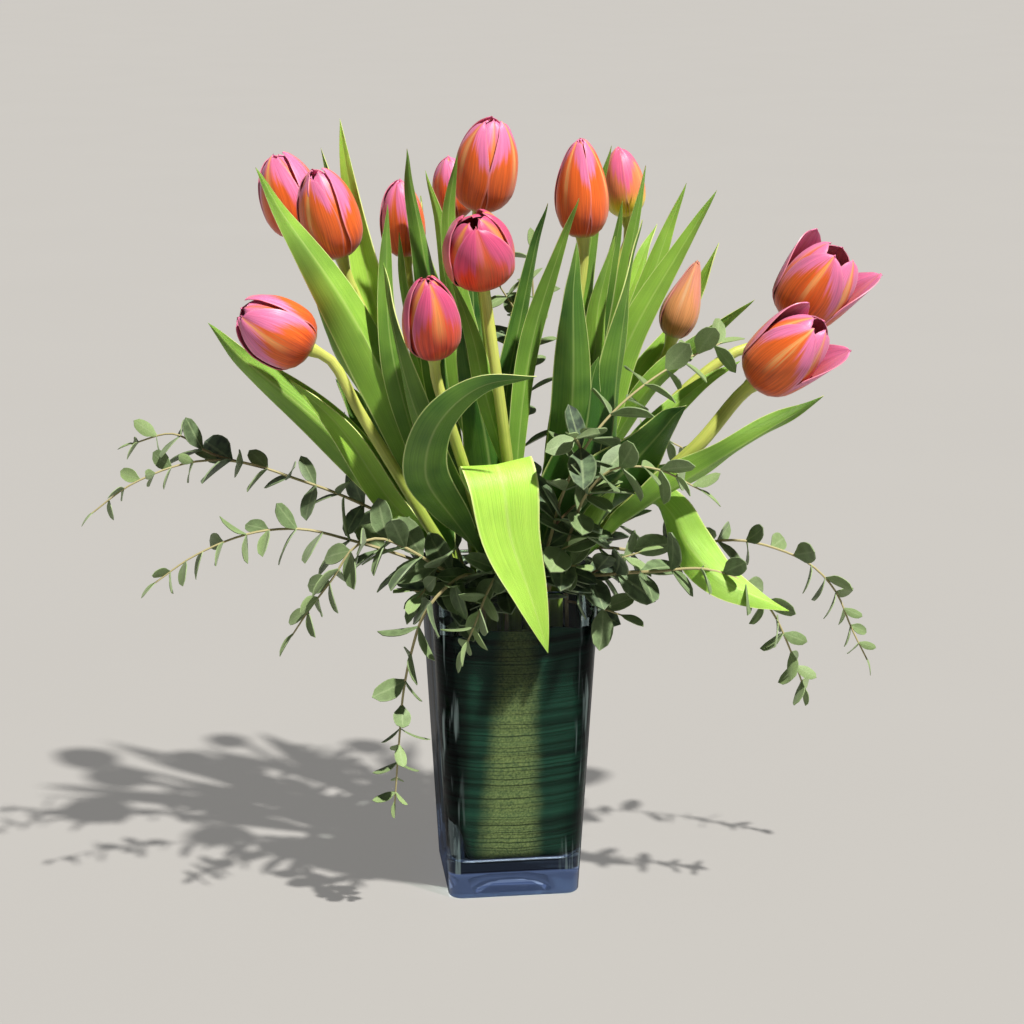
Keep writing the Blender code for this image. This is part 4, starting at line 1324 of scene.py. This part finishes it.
@dataclass(frozen=True)
class Tulip:
    """One tulip: its place in the mouth, its stem, its bloom and its leaves."""

    name: str
    slot: Point                    # where the stem passes the mouth
    bends: tuple[Point, ...]       # points of the stem between mouth and bloom
    base: Point                    # where the bloom sits
    tip: Point                     # where its petals end
    radius: float
    opening: float                 # 0 is closed and 1 is wide open
    spin: float
    petals: Petals
    leaves: tuple[Blade, ...]
    spread: tuple[float, ...] = (0.0,) * 6     # each petal's own extra opening
    taper: float = 0.0             # how much slimmer its top is
    stout: float = 1.0             # thickness of its stem

    def frame(self) -> tuple[Vector, Vector, Vector, Vector]:
        """Foot of the bloom, its axis, and its front and side square to that."""
        base = Vector(self.base)
        axis = (Vector(self.tip) - base).normalized()
        front = square_to(FRONT, axis)
        return base, axis, front, axis.cross(front)

    def route(self, stalks: Stalks) -> Path:
        """Middle line of the stem, a little into the bloom."""
        base, axis, _, _ = self.frame()
        return Path.through([*stalks.lower(self.slot), *self.bends,
                             base - axis * stalks.neck_length, base + axis * stalks.into_bloom])

    def build_stem(self, stalks: Stalks) -> Shape:
        """Stem from the vase's floor into the bloom."""
        route = self.route(stalks)
        slim = stalks.slim(route, stalks.radius, stalks.neck)

        def radius(share: float) -> float:
            """Radius at a share of the stem, with the swelling under the bloom."""
            swell = stalks.swell * ramp(stalks.swell_from, 1.0, share)
            return slim(share) * self.stout + swell

        piece = Hand.tube(self.name + "_stalk", route, radius, stalks.sides, stalks.rings,
                          stalks.ripple)
        Hand.dress(piece, STEM)
        return piece

    def build_leaves(self, stalks: Stalks) -> Shape:
        """All the leaves of the stem as one piece."""
        route = self.route(stalks)
        parts = [leaf.build(f"{self.name}_blade_{index}", route, stalks.radius * self.stout)
                 for index, leaf in enumerate(self.leaves)]
        return Hand.join(self.name + "_leaves", parts)

    def build_bloom(self) -> Shape:
        """Six petals in two layers round the heart."""
        parts = [self.build_petal(layer, third) for layer in range(2) for third in range(3)]
        return Hand.join(self.name + "_flower", parts + self.build_heart())

    def build_petal(self, layer: int, third: int) -> Shape:
        """One spoon-shaped petal of the inner (0) or outer (1) layer."""
        base, axis, front, side = self.frame()
        length = (Vector(self.tip) - base).length
        label = f"{self.name}_petal_{layer}_{third}"
        draw = random.Random(label)
        bearing = math.radians(self.spin + 120 * third + 60 * layer
                               + draw.uniform(-FORM.stray, FORM.stray))
        outward = on_ring(front, side, bearing)
        around = side * math.cos(bearing) - front * math.sin(bearing)
        opening = self.opening * (FORM.inner + FORM.outer * layer)
        opening += self.spread[3 * layer + third]
        opening += draw.uniform(*FORM.looser)
        height = length * draw.uniform(*FORM.shorter)
        phase = draw.uniform(0, 2 * math.pi)
        tip_turn = draw.uniform(-FORM.tip_stray, FORM.tip_stray)
        gap = FORM.step * (1 - layer)
        tightest = self.radius * blend(1.0, FORM.tuck, min(opening, 1.0))

        def place(across: float, along: float) -> Vector:
            """Point of the petal's middle surface."""
            out, up = FORM.middle(along, opening)
            slim = 1 - self.taper * ramp(*FORM.narrows, along)
            reach = out * self.radius * slim - gap * ramp(0.0, 0.25, along)
            bend = min(reach, tightest)
            half = self.radius * slim * max(eased(FORM.outline, along), 0.0)
            angle = across * min(half / max(bend, FORM.least_bend), math.radians(FORM.widest))
            angle += tip_turn * ramp(0.5, 1.0, along)
            ring = bend + FORM.standing_off(across, along, layer, phase)
            rise = up * height
            rise += FORM.point * height * (1 - abs(across)) * ramp(0.86, 1.0, along)
            return (base + axis * (rise + FORM.seat)
                    + outward * (reach - bend + ring * math.cos(angle))
                    + around * ring * math.sin(angle))

        piece = Hand.grid(label, FORM.columns, FORM.rows, place,
                          lambda share: 1 - (1 - share) ** FORM.crowding)
        Hand.two_sided(piece, FORM.thick)
        Hand.mark_all(piece, "tone", draw.random())
        Hand.dress(piece, self.petals.value)
        return piece

    def build_heart(self) -> list[Shape]:
        """Pistil and six stamens of an open bloom."""
        form = HEART_FORM
        if self.opening + max(self.spread) < form.shows_from:
            return []
        base, axis, front, side = self.frame()
        pistil = Path([base + axis, base + axis * form.pistil])
        parts = [Hand.tube(self.name + "_pistil", pistil, form.pistil_at, 9, form.rings,
                           form.pistil_ripple)]
        for index in range(form.stamens):
            angle = math.radians(360 / form.stamens * index + self.spin)
            lean = on_ring(front, side, angle)
            line = Path([base + axis * form.stamen_foot + lean * form.ring[0],
                         base + axis * form.stamen + lean * form.ring[1]])
            parts.append(Hand.tube(f"{self.name}_stamen_{index}", line, form.stamen_at, 6,
                                   form.rings))
        for part in parts:
            Hand.dress(part, HEART)
        return parts

    def build(self, stalks: Stalks) -> None:
        """Build the three pieces and hide the solids that they stand for."""
        for piece, slot, node in ((self.build_stem(stalks), "tulip_green", "_stem"),
                                  (self.build_leaves(stalks), "tulip_green", "_stem"),
                                  (self.build_bloom(), "petals", "_bloom")):
            Hand.settle(piece, slot, [self.name + node])


@dataclass(frozen=True)
class SmallLeaf:
    """One small leaf of eucalyptus, of length 1, modelled flat and copied into place."""

    width: float
    fold: float                    # lift of its halves
    droop: float
    thick: float = 0.028
    columns: int = 2
    rows: int = 7
    smooth_angle: float = 60.0
    outline: Pairs = ((0.0, 0.12), (0.07, 0.14), (0.18, 0.62), (0.36, 0.96), (0.55, 1.0),
                      (0.74, 0.86), (0.90, 0.56), (1.0, 0.0))

    def build(self, name: str) -> Shape:
        """The leaf to copy, along +Y with its upper side towards +Z."""
        def place(across: float, along: float) -> Vector:
            """Point of the leaf's middle surface."""
            half = self.width / 2 * max(eased(self.outline, along), 0.0)
            return Vector((across * half, along,
                           self.fold * abs(across) * half - self.droop * along ** 2)) / MM

        piece = Hand.grid(name, self.columns, self.rows, place)
        Hand.thicken(piece, self.thick)
        Hand.dress(piece, SMALL_LEAF, self.smooth_angle)
        return piece


class SmallLeaves:
    """The forms of small leaf that every spray copies."""

    kinds = (SmallLeaf(0.50, 0.26, 0.10), SmallLeaf(0.62, 0.14, 0.16),
             SmallLeaf(0.42, 0.40, 0.05), SmallLeaf(0.56, 0.08, 0.22))

    def __init__(self) -> None:
        """Model the forms."""
        self.forms = [kind.build(f"small_leaf_{index}") for index, kind in enumerate(self.kinds)]

    def copy(self, root: Vector, direction: Vector, normal: Vector, length: float,
             young: float, draw: random.Random) -> Shape:
        """Put a copy of one form in its place.

        Args:
            root: where it grows, in millimetres.
            direction: from its foot to its tip.
            normal: out of its upper side.
            length: in millimetres.
            young: 0 for an old grey leaf and 1 for a fresh one.
            draw: the spray's random numbers.

        Returns:
            The copy, with a mesh of its own.
        """
        form = draw.choice(self.forms)
        copy = form.copy()
        copy.data = form.data.copy()
        turn = Matrix((direction.cross(normal), direction, normal)).transposed().to_4x4()
        size = Matrix.Scale(length * MM, 4)
        copy.data.transform(Matrix.Translation(root * MM) @ turn @ size)
        bpy.context.scene.collection.objects.link(copy)
        Hand.mark_all(copy, "tone", young)
        return copy

    def clear(self) -> None:
        """Remove the forms once every spray has its copies."""
        for form in self.forms:
            bpy.data.objects.remove(form)


class Shoot(NamedTuple):
    """A side shoot that fills out a spray near the mouth."""

    share: float                   # of the free stem, where it leaves it
    bearing: float
    rise: float                    # elevation of its direction
    length: float
    leaf: float
    sag: float = 0.18              # how far its tip sinks, as a share of its length

    def route(self, root: Vector) -> Path:
        """Middle line of the shoot, which sags a little towards its tip."""
        bearing, rise = math.radians(self.bearing), math.radians(self.rise)
        out = Vector((math.cos(bearing) * math.cos(rise), math.sin(bearing) * math.cos(rise),
                      math.sin(rise)))
        sag = Vector((0, 0, -self.sag * self.length))
        return Path.through([root, root + out * self.length * 0.5 + sag * 0.2,
                             root + out * self.length + sag])


@dataclass(frozen=True)
class Spray:
    """One stem of eucalyptus with small leaves in opposite pairs."""

    name: str
    slot: Point
    route: tuple[Point, ...]
    start: float                   # share of the free stem below the first pair
    pitch: float                   # distance from pair to pair as a share of a leaf's length
    leaf: tuple[float, float]      # length of the lowest and of the topmost leaves
    roll: float = 0.0              # turn of the first pair about the stem
    forks: tuple[tuple[float, tuple[Point, ...]], ...] = ()
    shoots: tuple[Shoot, ...] = ()

    radius: float = 1.3
    fork_radius: float = 0.9
    tip: float = 0.5
    lower: float = 0.45            # the first pair stands this share of the start up
    fork_first: float = 0.25       # share of a fork below its first pair
    shoot_first: float = 0.2
    shoot_tip: float = 0.6         # size of a shoot's topmost leaves against its lowest
    sides: int = 7
    rings: int = 60
    branch_rings: int = 20
    closer: float = 0.60           # pairs stand this much closer than in the solid
    pair_angle: float = 55.0
    pair_turn: float = 84.0
    sway: float = 16.0
    roll_sway: float = 28.0        # a leaf's own turn about its length
    sink: Vector = Vector((0, 0, -0.18))       # how leaves hang
    face_up: Vector = Vector((0, 0, 0.7))      # how far they turn their upper side up
    fresh: float = 0.8             # how young the topmost pairs are
    missing: float = 0.06          # share of leaves that have dropped
    last_pair: float = 4.0

    def build(self, stalks: Stalks, leaves: SmallLeaves) -> None:
        """Twig, forks and shoots with their leaves, as one piece."""
        draw = random.Random(self.name)
        line = Path.through([*stalks.lower(self.slot), *self.route])
        bend = line.share_at_height(stalks.straight_top)
        parts = [self.twig(self.name + "_twig", line,
                           stalks.slim(line, self.radius, self.tip), self.rings)]
        parts += self.pairs(line, blend(bend, 1.0, self.start * self.lower), self.leaf, draw,
                            leaves)
        branches = []
        for index, (share, points) in enumerate(self.forks):
            fork = Path.through([line.at(blend(bend, 1.0, share)), *points])
            branches.append((f"fork_{index}", fork, self.fork_first, self.leaf))
        for index, shoot in enumerate(self.shoots):
            side = shoot.route(line.at(blend(bend, 1.0, shoot.share)))
            sizes = (shoot.leaf, shoot.leaf * self.shoot_tip)
            branches.append((f"shoot_{index}", side, self.shoot_first, sizes))
        for label, path, first, sizes in branches:
            parts.append(self.twig(f"{self.name}_{label}", path,
                                   lambda share: blend(self.fork_radius, self.tip, share),
                                   self.branch_rings))
            parts += self.pairs(path, first, sizes, draw, leaves)
        Hand.settle(Hand.join(self.name + "_sprig", parts), "spray_green", [self.name])

    def twig(self, name: str, line: Path, radius: Callable[[float], float], rings: int) -> Shape:
        """The bare twig."""
        piece = Hand.tube(name, line, radius, self.sides, rings)
        Hand.mark_all(piece, "tone", 0.5)
        Hand.dress(piece, TWIG)
        return piece

    def pairs(self, line: Path, first: float, sizes: tuple[float, float], draw: random.Random,
              leaves: SmallLeaves) -> list[Shape]:
        """Opposite leaves along a twig, smaller towards its tip, and one leaf at its end.

        Args:
            line: the twig's middle line.
            first: share of its length at which the first pair stands.
            sizes: length of a leaf there and at the tip.
            draw: the spray's random numbers.
            leaves: the forms to copy.

        Returns:
            The leaves.
        """
        parts = []
        across = square_to(UP, line.heading(first))
        reach = first * line.length
        pair = 0
        while reach < line.length - self.last_pair:
            share = reach / line.length
            axis = line.heading(share)
            across = square_to(across, axis)
            grown = (share - first) / (1 - first)
            length = blend(*sizes, grown)
            roll = self.roll + (pair % 2) * self.pair_turn + draw.uniform(-self.sway, self.sway)
            arm = spun(roll, axis) @ across
            for hand in (-1, 1):
                if draw.random() < self.missing:
                    continue
                angle = math.radians(self.pair_angle + draw.uniform(-self.sway, self.sway))
                direction = axis * math.cos(angle) + arm * hand * math.sin(angle)
                direction = (direction + self.sink).normalized()
                normal = square_to(axis + self.face_up, direction)
                turned = spun(draw.uniform(-self.roll_sway, self.roll_sway), direction) @ normal
                young = held(grown * self.fresh + draw.uniform(-0.15, 0.2))
                parts.append(leaves.copy(line.at(share), direction, turned,
                                         length * draw.uniform(0.8, 1.12), young, draw))
            reach += length * self.pitch * self.closer * draw.uniform(0.85, 1.15)
            pair += 1
        axis = line.heading(1.0)
        parts.append(leaves.copy(line.at(1.0) - axis * 2, axis, square_to(UP, axis),
                                 sizes[1] * 0.9, 0.9, draw))
        return parts


TULIPS = (
    Tulip("left_back", (-33, 17), ((-60, 27, 270), (-96, 42, 350)), (-121, 51, 408),
          (-136, 55, 458), 18.5, 0.10, 20, Petals.PINK,
          (Blade(245, ((-62, 44, 300), (-84, 57, 386), (-96, 62, 479)), 22, 90, tone=0.9),
           Blade(225, ((-58, 52, 290), (-91, 74, 390), (-108, 78, 460)), 15, 90),
           Blade(250, ((-80, 27, 300), (-104, 30, 340), (-119, 22, 385)), 15, 200),
           Blade(212, ((-50, 34, 245), (-78, 44, 285), (-103, 50, 318)), 34, 110, tone=0.1))),
    Tulip("left_upper", (-32, 1), ((-55, 7, 280), (-80, 15, 350)), (-99, 19, 400),
          (-114, 10, 453), 18.0, 0.12, 20, Petals.FLAME,
          (Blade(225, ((-62, -3, 290), (-100, -7, 375), (-150, -6, 457)), 34, -70, 20, 34,
                 tone=0.62),
           Blade(240, ((-60, -8, 300), (-74, -12, 360), (-73, -2, 434)), 16, -90))),
    Tulip("left_low", (-33, -14), ((-57, -17, 250), (-92, -19, 312)), (-120, -18, 350),
          (-161, -23, 375), 20.0, 0.20, 45, Petals.PINK,
          (Blade(212, ((-66, -3, 240), (-118, 12, 302), (-181, 14, 362)), 30, 230, 20, 30,
                 tone=0.6),
           Blade(220, ((-68, -2, 246), (-102, -4, 298), (-133, -12, 330)), 20, 70, tone=0.75,
                 loose=0.4),
           Blade(206, ((-50, 0, 238), (-70, 6, 276), (-86, 10, 318)), 34, -100, tone=0.08))),
    Tulip("back_left", (-17, 30), ((-30, 40, 280), (-50, 50, 350)), (-57, 53, 394),
          (-61, 48, 442), 13.6, 0.05, 30, Petals.PINK,
          (Blade(230, ((-34, 26, 300), (-47, 25, 377), (-61, 24, 464)), 22, -90, 30, 35),
           Blade(260, ((-52, 37, 330), (-60, 34, 370), (-63, 33, 412)), 13, -120))),
    Tulip("back_middle", (-1, 33), ((-8, 50, 290), (-20, 70, 360)), (-23, 78, 414),
          (-28, 76, 453), 12.8, 0.0, 0, Petals.FLAME,
          (Blade(235, ((-22, 62, 310), (-43, 66, 385), (-47, 68, 430)), 16, 150),
           Blade(215, ((-6, 64, 275), (-8, 92, 345), (-14, 106, 398)), 26, 80))),
    Tulip("tall_middle", (0, 4), ((-5, 8, 290), (-12, 17, 370)), (-14, 24, 426),
          (-7, 11, 482), 19.0, 0.10, 4, Petals.FLAME,
          (Blade(235, ((-22, 8, 300), (-33, 13, 379), (-48, 12, 452)), 16, -100),
           Blade(300, ((-27, 6, 370), (-35, 3, 420), (-30, -3, 464)), 13, -90),
           Blade(240, ((-2, -2, 310), (10, 2, 372), (23, -4, 434)), 15, -70))),
    Tulip("round_front", (2, -26), ((-3, -37, 270), (-12, -43, 340)), (-20, -49, 395),
          (-28, -74, 434), 20.5, 0.17, 60, Petals.ROSE,
          (Blade(210, ((-2, -46, 250), (-14, -62, 282), (-15, -73, 290), (-12, -85, 280),
                       (-8, -89, 250), (3, -91, 215), (13, -93, 179)), 42, -90, 0, 6, 1.0, 0.15),
           Blade(270, ((-17, -36, 325), (-24, -34, 357), (-37, -26, 394)), 13, -110, tone=0.6),
           Blade(235, ((5, -24, 295), (13, -22, 360), (38, -32, 441)), 15, -60, tone=0.5),
           Blade(206, ((-12, -22, 262), (-24, -26, 320), (-30, -24, 366)), 30, -95, tone=0.05))),
    Tulip("front_low", (-14, -27), ((-24, -44, 255), (-42, -64, 315)), (-51, -72, 355),
          (-56, -91, 403), 16.3, 0.08, 72, Petals.ROSE,
          (Blade(222, ((-40, -54, 254), (-58, -76, 285), (-52, -92, 318), (-30, -100, 340),
                       (4, -105, 349)), 27, -110, 0, 18, 0.16, 0.3),
           Blade(240, ((-54, -56, 300), (-71, -52, 365), (-77, -42, 405)), 18, -130))),
    Tulip("tall_right", (17, 3), ((31, 3, 295), (43, 5, 365)), (47, 4, 411),
          (44, -1, 471), 16.0, 0.02, 8, Petals.FLAME,
          (Blade(215, ((31, -22, 275), (37, -40, 340), (36, -43, 415)), 28, -90, 15, 26, 0.2),
           Blade(270, ((52, -3, 330), (56, -5, 373), (65, -6, 413)), 15, -80, tone=0.6),
           Blade(206, ((28, -20, 252), (42, -28, 300), (52, -32, 344)), 32, -80, tone=0.05)),
          taper=0.12),
    Tulip("back_right", (20, 31), ((42, 40, 290), (66, 48, 365)), (82, 52, 417),
          (76, 49, 460), 13.2, 0.0, 0, Petals.SUNNY,
          (Blade(225, ((38, 28, 300), (52, 27, 385), (67, 30, 464)), 16, -90),
           Blade(240, ((52, 20, 320), (63, 14, 376), (73, 14, 432)), 15, -80),
           Blade(255, ((68, 32, 330), (80, 27, 393), (91, 28, 451)), 14, -70),
           Blade(250, ((62, 60, 320), (88, 64, 375), (103, 70, 411)), 18, 60, tone=0.75))),
    Tulip("bud_right", (34, 18), ((56, 21, 255), (90, 24, 315)), (107, 25, 344),
          (122, 23, 392), 12.0, 0.0, 45, Petals.BUD,
          (Blade(222, ((57, 16, 292), (79, 14, 345), (112, 16, 442)), 20, -100, 30, tone=0.7),
           Blade(222, ((60, 4, 290), (75, 0, 348), (127, -4, 440)), 21, -100, 20, tone=0.75,
                 loose=0.5),
           Blade(240, ((90, 42, 310), (120, 47, 350), (141, 46, 400)), 18, 60, tone=0.7),
           Blade(245, ((90, 4, 318), (120, -2, 346), (150, -16, 375)), 15, -70, tone=0.6)),
          taper=0.42),
    Tulip("open_right", (33, -2), ((50, -3, 240), (95, 0, 300), (141, 1, 338)), (177, 1, 357),
          (205, -12, 404), 22.0, 0.50, 40, Petals.PINK,
          (Blade(214, ((58, -18, 270), (66, -24, 345), (76, -20, 425)), 24, -70, 40, 24),
           Blade(235, ((84, -14, 292), (116, -18, 322), (141, -22, 338)), 15, -100),
           Blade(208, ((52, 14, 228), (98, 24, 252), (142, 36, 262)), 26, 80)),
          (0.05, 0.05, 0.0, 0.50, 0.20, 0.0)),
    Tulip("open_low", (30, -18), ((55, -26, 232), (83, -34, 262), (113, -41, 292)),
          (144, -46, 329), (178, -70, 369), 20.5, 0.36, 40, Petals.PINK,
          (Blade(206, ((42, -32, 240), (74, -40, 288), (101, -52, 320)), 40, -80, 0, 16, 0.0),
           Blade(222, ((78, -50, 254), (116, -66, 282), (176, -86, 330)), 24, -60, 0, 40, 0.6),
           Blade(246, ((85, -36, 257), (95, -46, 250), (104, -58, 234), (121, -72, 216),
                       (141, -81, 205), (160, -86, 197)), 29, -60, -110, 24, 1.0, 0.4),
           Blade(214, ((42, -46, 232), (50, -56, 252), (58, -66, 276)), 20, -80, 0, 40, 0.7)),
          (0.0, 0.0, 0.0, 0.50, 0.12, -0.1), stout=1.3),
)

SPRAYS = (
    Spray("spray_long_left", (-35, 32),
          ((-56, 32, 222), (-100, 24, 248), (-128, 14, 262), (-164, 8, 276), (-195, 6, 277),
           (-231, 2, 265), (-255, 1, 248)), 0.22, 1.2, (30, 13), 80,
          ((0.60, ((-182, 8, 282), (-204, 16, 293), (-230, 22, 286))),),
          shoots=(Shoot(0.12, 160, 45, 50, 27),)),
    Spray("spray_low_left", (-36, -27),
          ((-55, -31, 218), (-102, -32, 236), (-129, -32, 243), (-159, -34, 242),
           (-193, -37, 230), (-218, -40, 214)), 0.20, 1.2, (35, 14), 70,
          shoots=(Shoot(0.10, 215, 35, 46, 29), Shoot(0.20, 240, 5, 40, 29))),
    Spray("spray_corner_left", (-31, -36),
          ((-50, -54, 224), (-84, -62, 244), (-99, -66, 240), (-112, -68, 222),
           (-126, -69, 204), (-137, -70, 188)), 0.30, 0.75, (37, 18), 20,
          shoots=(Shoot(0.15, 250, 40, 38, 32),)),
    Spray("spray_trailing", (-20, -36),
          ((-33, -60, 219), (-48, -70, 212), (-59, -72, 198), (-66, -69, 175), (-71, -67, 149),
           (-74, -66, 116), (-77, -64, 76)), 0.30, 1.2, (31, 13), 0),
    Spray("spray_front", (-5, -36),
          ((-12, -60, 220), (-21, -73, 211), (-28, -79, 196), (-36, -81, 178)),
          0.38, 0.9, (30, 17), 0,
          shoots=(Shoot(0.30, 260, 40, 30, 32),)),
    Spray("spray_rising_right", (12, -36),
          ((19, -56, 238), (26, -66, 271), (40, -68, 300), (60, -62, 321), (91, -50, 340),
           (126, -36, 352)), 0.42, 0.95, (39, 20), 30,
          shoots=(Shoot(0.20, 300, 45, 45, 37), Shoot(0.35, 340, 50, 40, 35),
                  Shoot(0.55, 250, 40, 32, 32))),
    Spray("spray_front_right", (22, -36),
          ((30, -60, 240), (38, -78, 272), (52, -86, 288), (76, -92, 289), (103, -96, 276)),
          0.50, 0.9, (35, 18), 60,
          shoots=(Shoot(0.25, 290, 30, 38, 29),)),
    Spray("spray_long_right", (36, 8),
          ((56, 6, 214), (85, 4, 212), (123, 3, 216), (149, 2, 217), (171, -1, 212),
           (193, -6, 202), (209, -10, 185), (220, -13, 160), (230, -16, 140)),
          0.21, 1.15, (33, 14), 80,
          shoots=(Shoot(0.10, 340, 20, 45, 29), Shoot(0.20, 20, 35, 45, 27))),
    Spray("spray_drooping_right", (36, -31),
          ((58, -46, 212), (84, -60, 217), (111, -68, 220), (135, -72, 212), (152, -74, 194),
           (164, -73, 170), (175, -70, 142)), 0.25, 1.1, (32, 15), 60,
          shoots=(Shoot(0.10, 320, 10, 42, 30), Shoot(0.22, 350, 35, 40, 29))),
    Spray("spray_upright_back", (9, 36),
          ((15, 50, 253), (21, 60, 303), (25, 66, 346), (24, 70, 397)), 0.36, 1.3, (28, 15), 0,
          ((0.66, ((16, 62, 350), (2, 58, 374))),)),
    Spray("spray_back_left", (-26, 36),
          ((-44, 62, 232), (-70, 86, 262), (-92, 102, 276), (-112, 111, 272)),
          0.28, 1.4, (25, 13), 60),
    Spray("spray_back_right", (33, 34),
          ((56, 58, 230), (86, 82, 254), (112, 98, 262), (138, 108, 250)),
          0.28, 1.4, (25, 13), 60),
)


@dataclass(frozen=True)
class Studio:
    """Plain pale floor and background, one soft sun and the camera."""

    aim: Point = (0.003, -0.0004, 0.241)
    distance: float = 1.4
    azimuth: float = -7.0
    elevation: float = 15.0
    lens: float = 79.0
    to_sun: Point = (0.315, -0.37, 0.873)
    sun_power: float = 6.4
    sun_angle: float = 1.8
    sun_colour: Point = (1.0, 0.97, 0.92)
    fill: Colour = (0.085, 0.088, 0.095, 1.0)
    backdrop: Colour = (0.61, 0.59, 0.56, 1.0)
    floor_size: float = 100.0
    floor_drop: float = 0.0003     # the floor lies this far under the vase

    def build(self) -> None:
        """Place floor, lamp, surroundings and camera."""
        Hand.drop_all()
        bpy.ops.mesh.primitive_plane_add(size=self.floor_size,
                                         location=(0, 0, -self.floor_drop))
        floor = bpy.context.object
        floor.name = "studio_floor"
        bpy.ops.object.transform_apply()
        floor.data.materials.append(FLOOR.material())
        lamp = bpy.data.lights.new("sun", "SUN")
        lamp.energy = self.sun_power
        lamp.angle = math.radians(self.sun_angle)
        lamp.color = self.sun_colour
        sun = bpy.data.objects.new("sun", lamp)
        sun.rotation_euler = Vector(self.to_sun).to_track_quat("Z", "Y").to_euler()
        bpy.context.scene.collection.objects.link(sun)
        self.surround()
        self.look()

    def surround(self) -> None:
        """Even surroundings, paler where the camera sees them past the floor."""
        world = bpy.data.worlds.new("studio")
        bpy.context.scene.world = world
        world.use_nodes = True
        book = Book(world.node_tree)
        fill = world.node_tree.nodes["Background"]
        fill.inputs["Color"].default_value = self.fill
        seen = book.value("ShaderNodeBackground", {"Color": self.backdrop})
        camera = book.value("ShaderNodeLightPath", {}, "Is Camera Ray")
        both = book.value("ShaderNodeMixShader", {0: camera, 1: fill.outputs[0], 2: seen})
        book.join(both, world.node_tree.nodes["World Output"].inputs["Surface"])

    def look(self) -> None:
        """Camera a little left of the front and above the rim."""
        azimuth, elevation = math.radians(self.azimuth), math.radians(self.elevation)
        back = Vector((math.sin(azimuth) * math.cos(elevation),
                       -math.cos(azimuth) * math.cos(elevation), math.sin(elevation)))
        right = Vector((math.cos(azimuth), math.sin(azimuth), 0))
        turn = Matrix((right, back.cross(right), back)).transposed().to_4x4()
        lens = bpy.data.cameras.new("camera")
        lens.lens = self.lens
        camera = bpy.data.objects.new("camera", lens)
        camera.matrix_world = Matrix.Translation(Vector(self.aim) + back * self.distance) @ turn
        bpy.context.scene.collection.objects.link(camera)
        bpy.context.scene.camera = camera
        bpy.context.scene.view_settings.view_transform = "Standard"


def main() -> None:
    """Build every piece."""
    logging.basicConfig(level=logging.INFO, format="%(message)s")
    vase = Vase()
    vase.build()
    RolledLeaf(vase).build()
    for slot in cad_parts["water"].material_slots:
        slot.material = WATER.material()
    stalks = Stalks(vase)
    for tulip in TULIPS:
        tulip.build(stalks)
    leaves = SmallLeaves()
    for spray in SPRAYS:
        spray.build(stalks, leaves)
    leaves.clear()
    Studio().build()


if __name__ == "__main__":
    main()
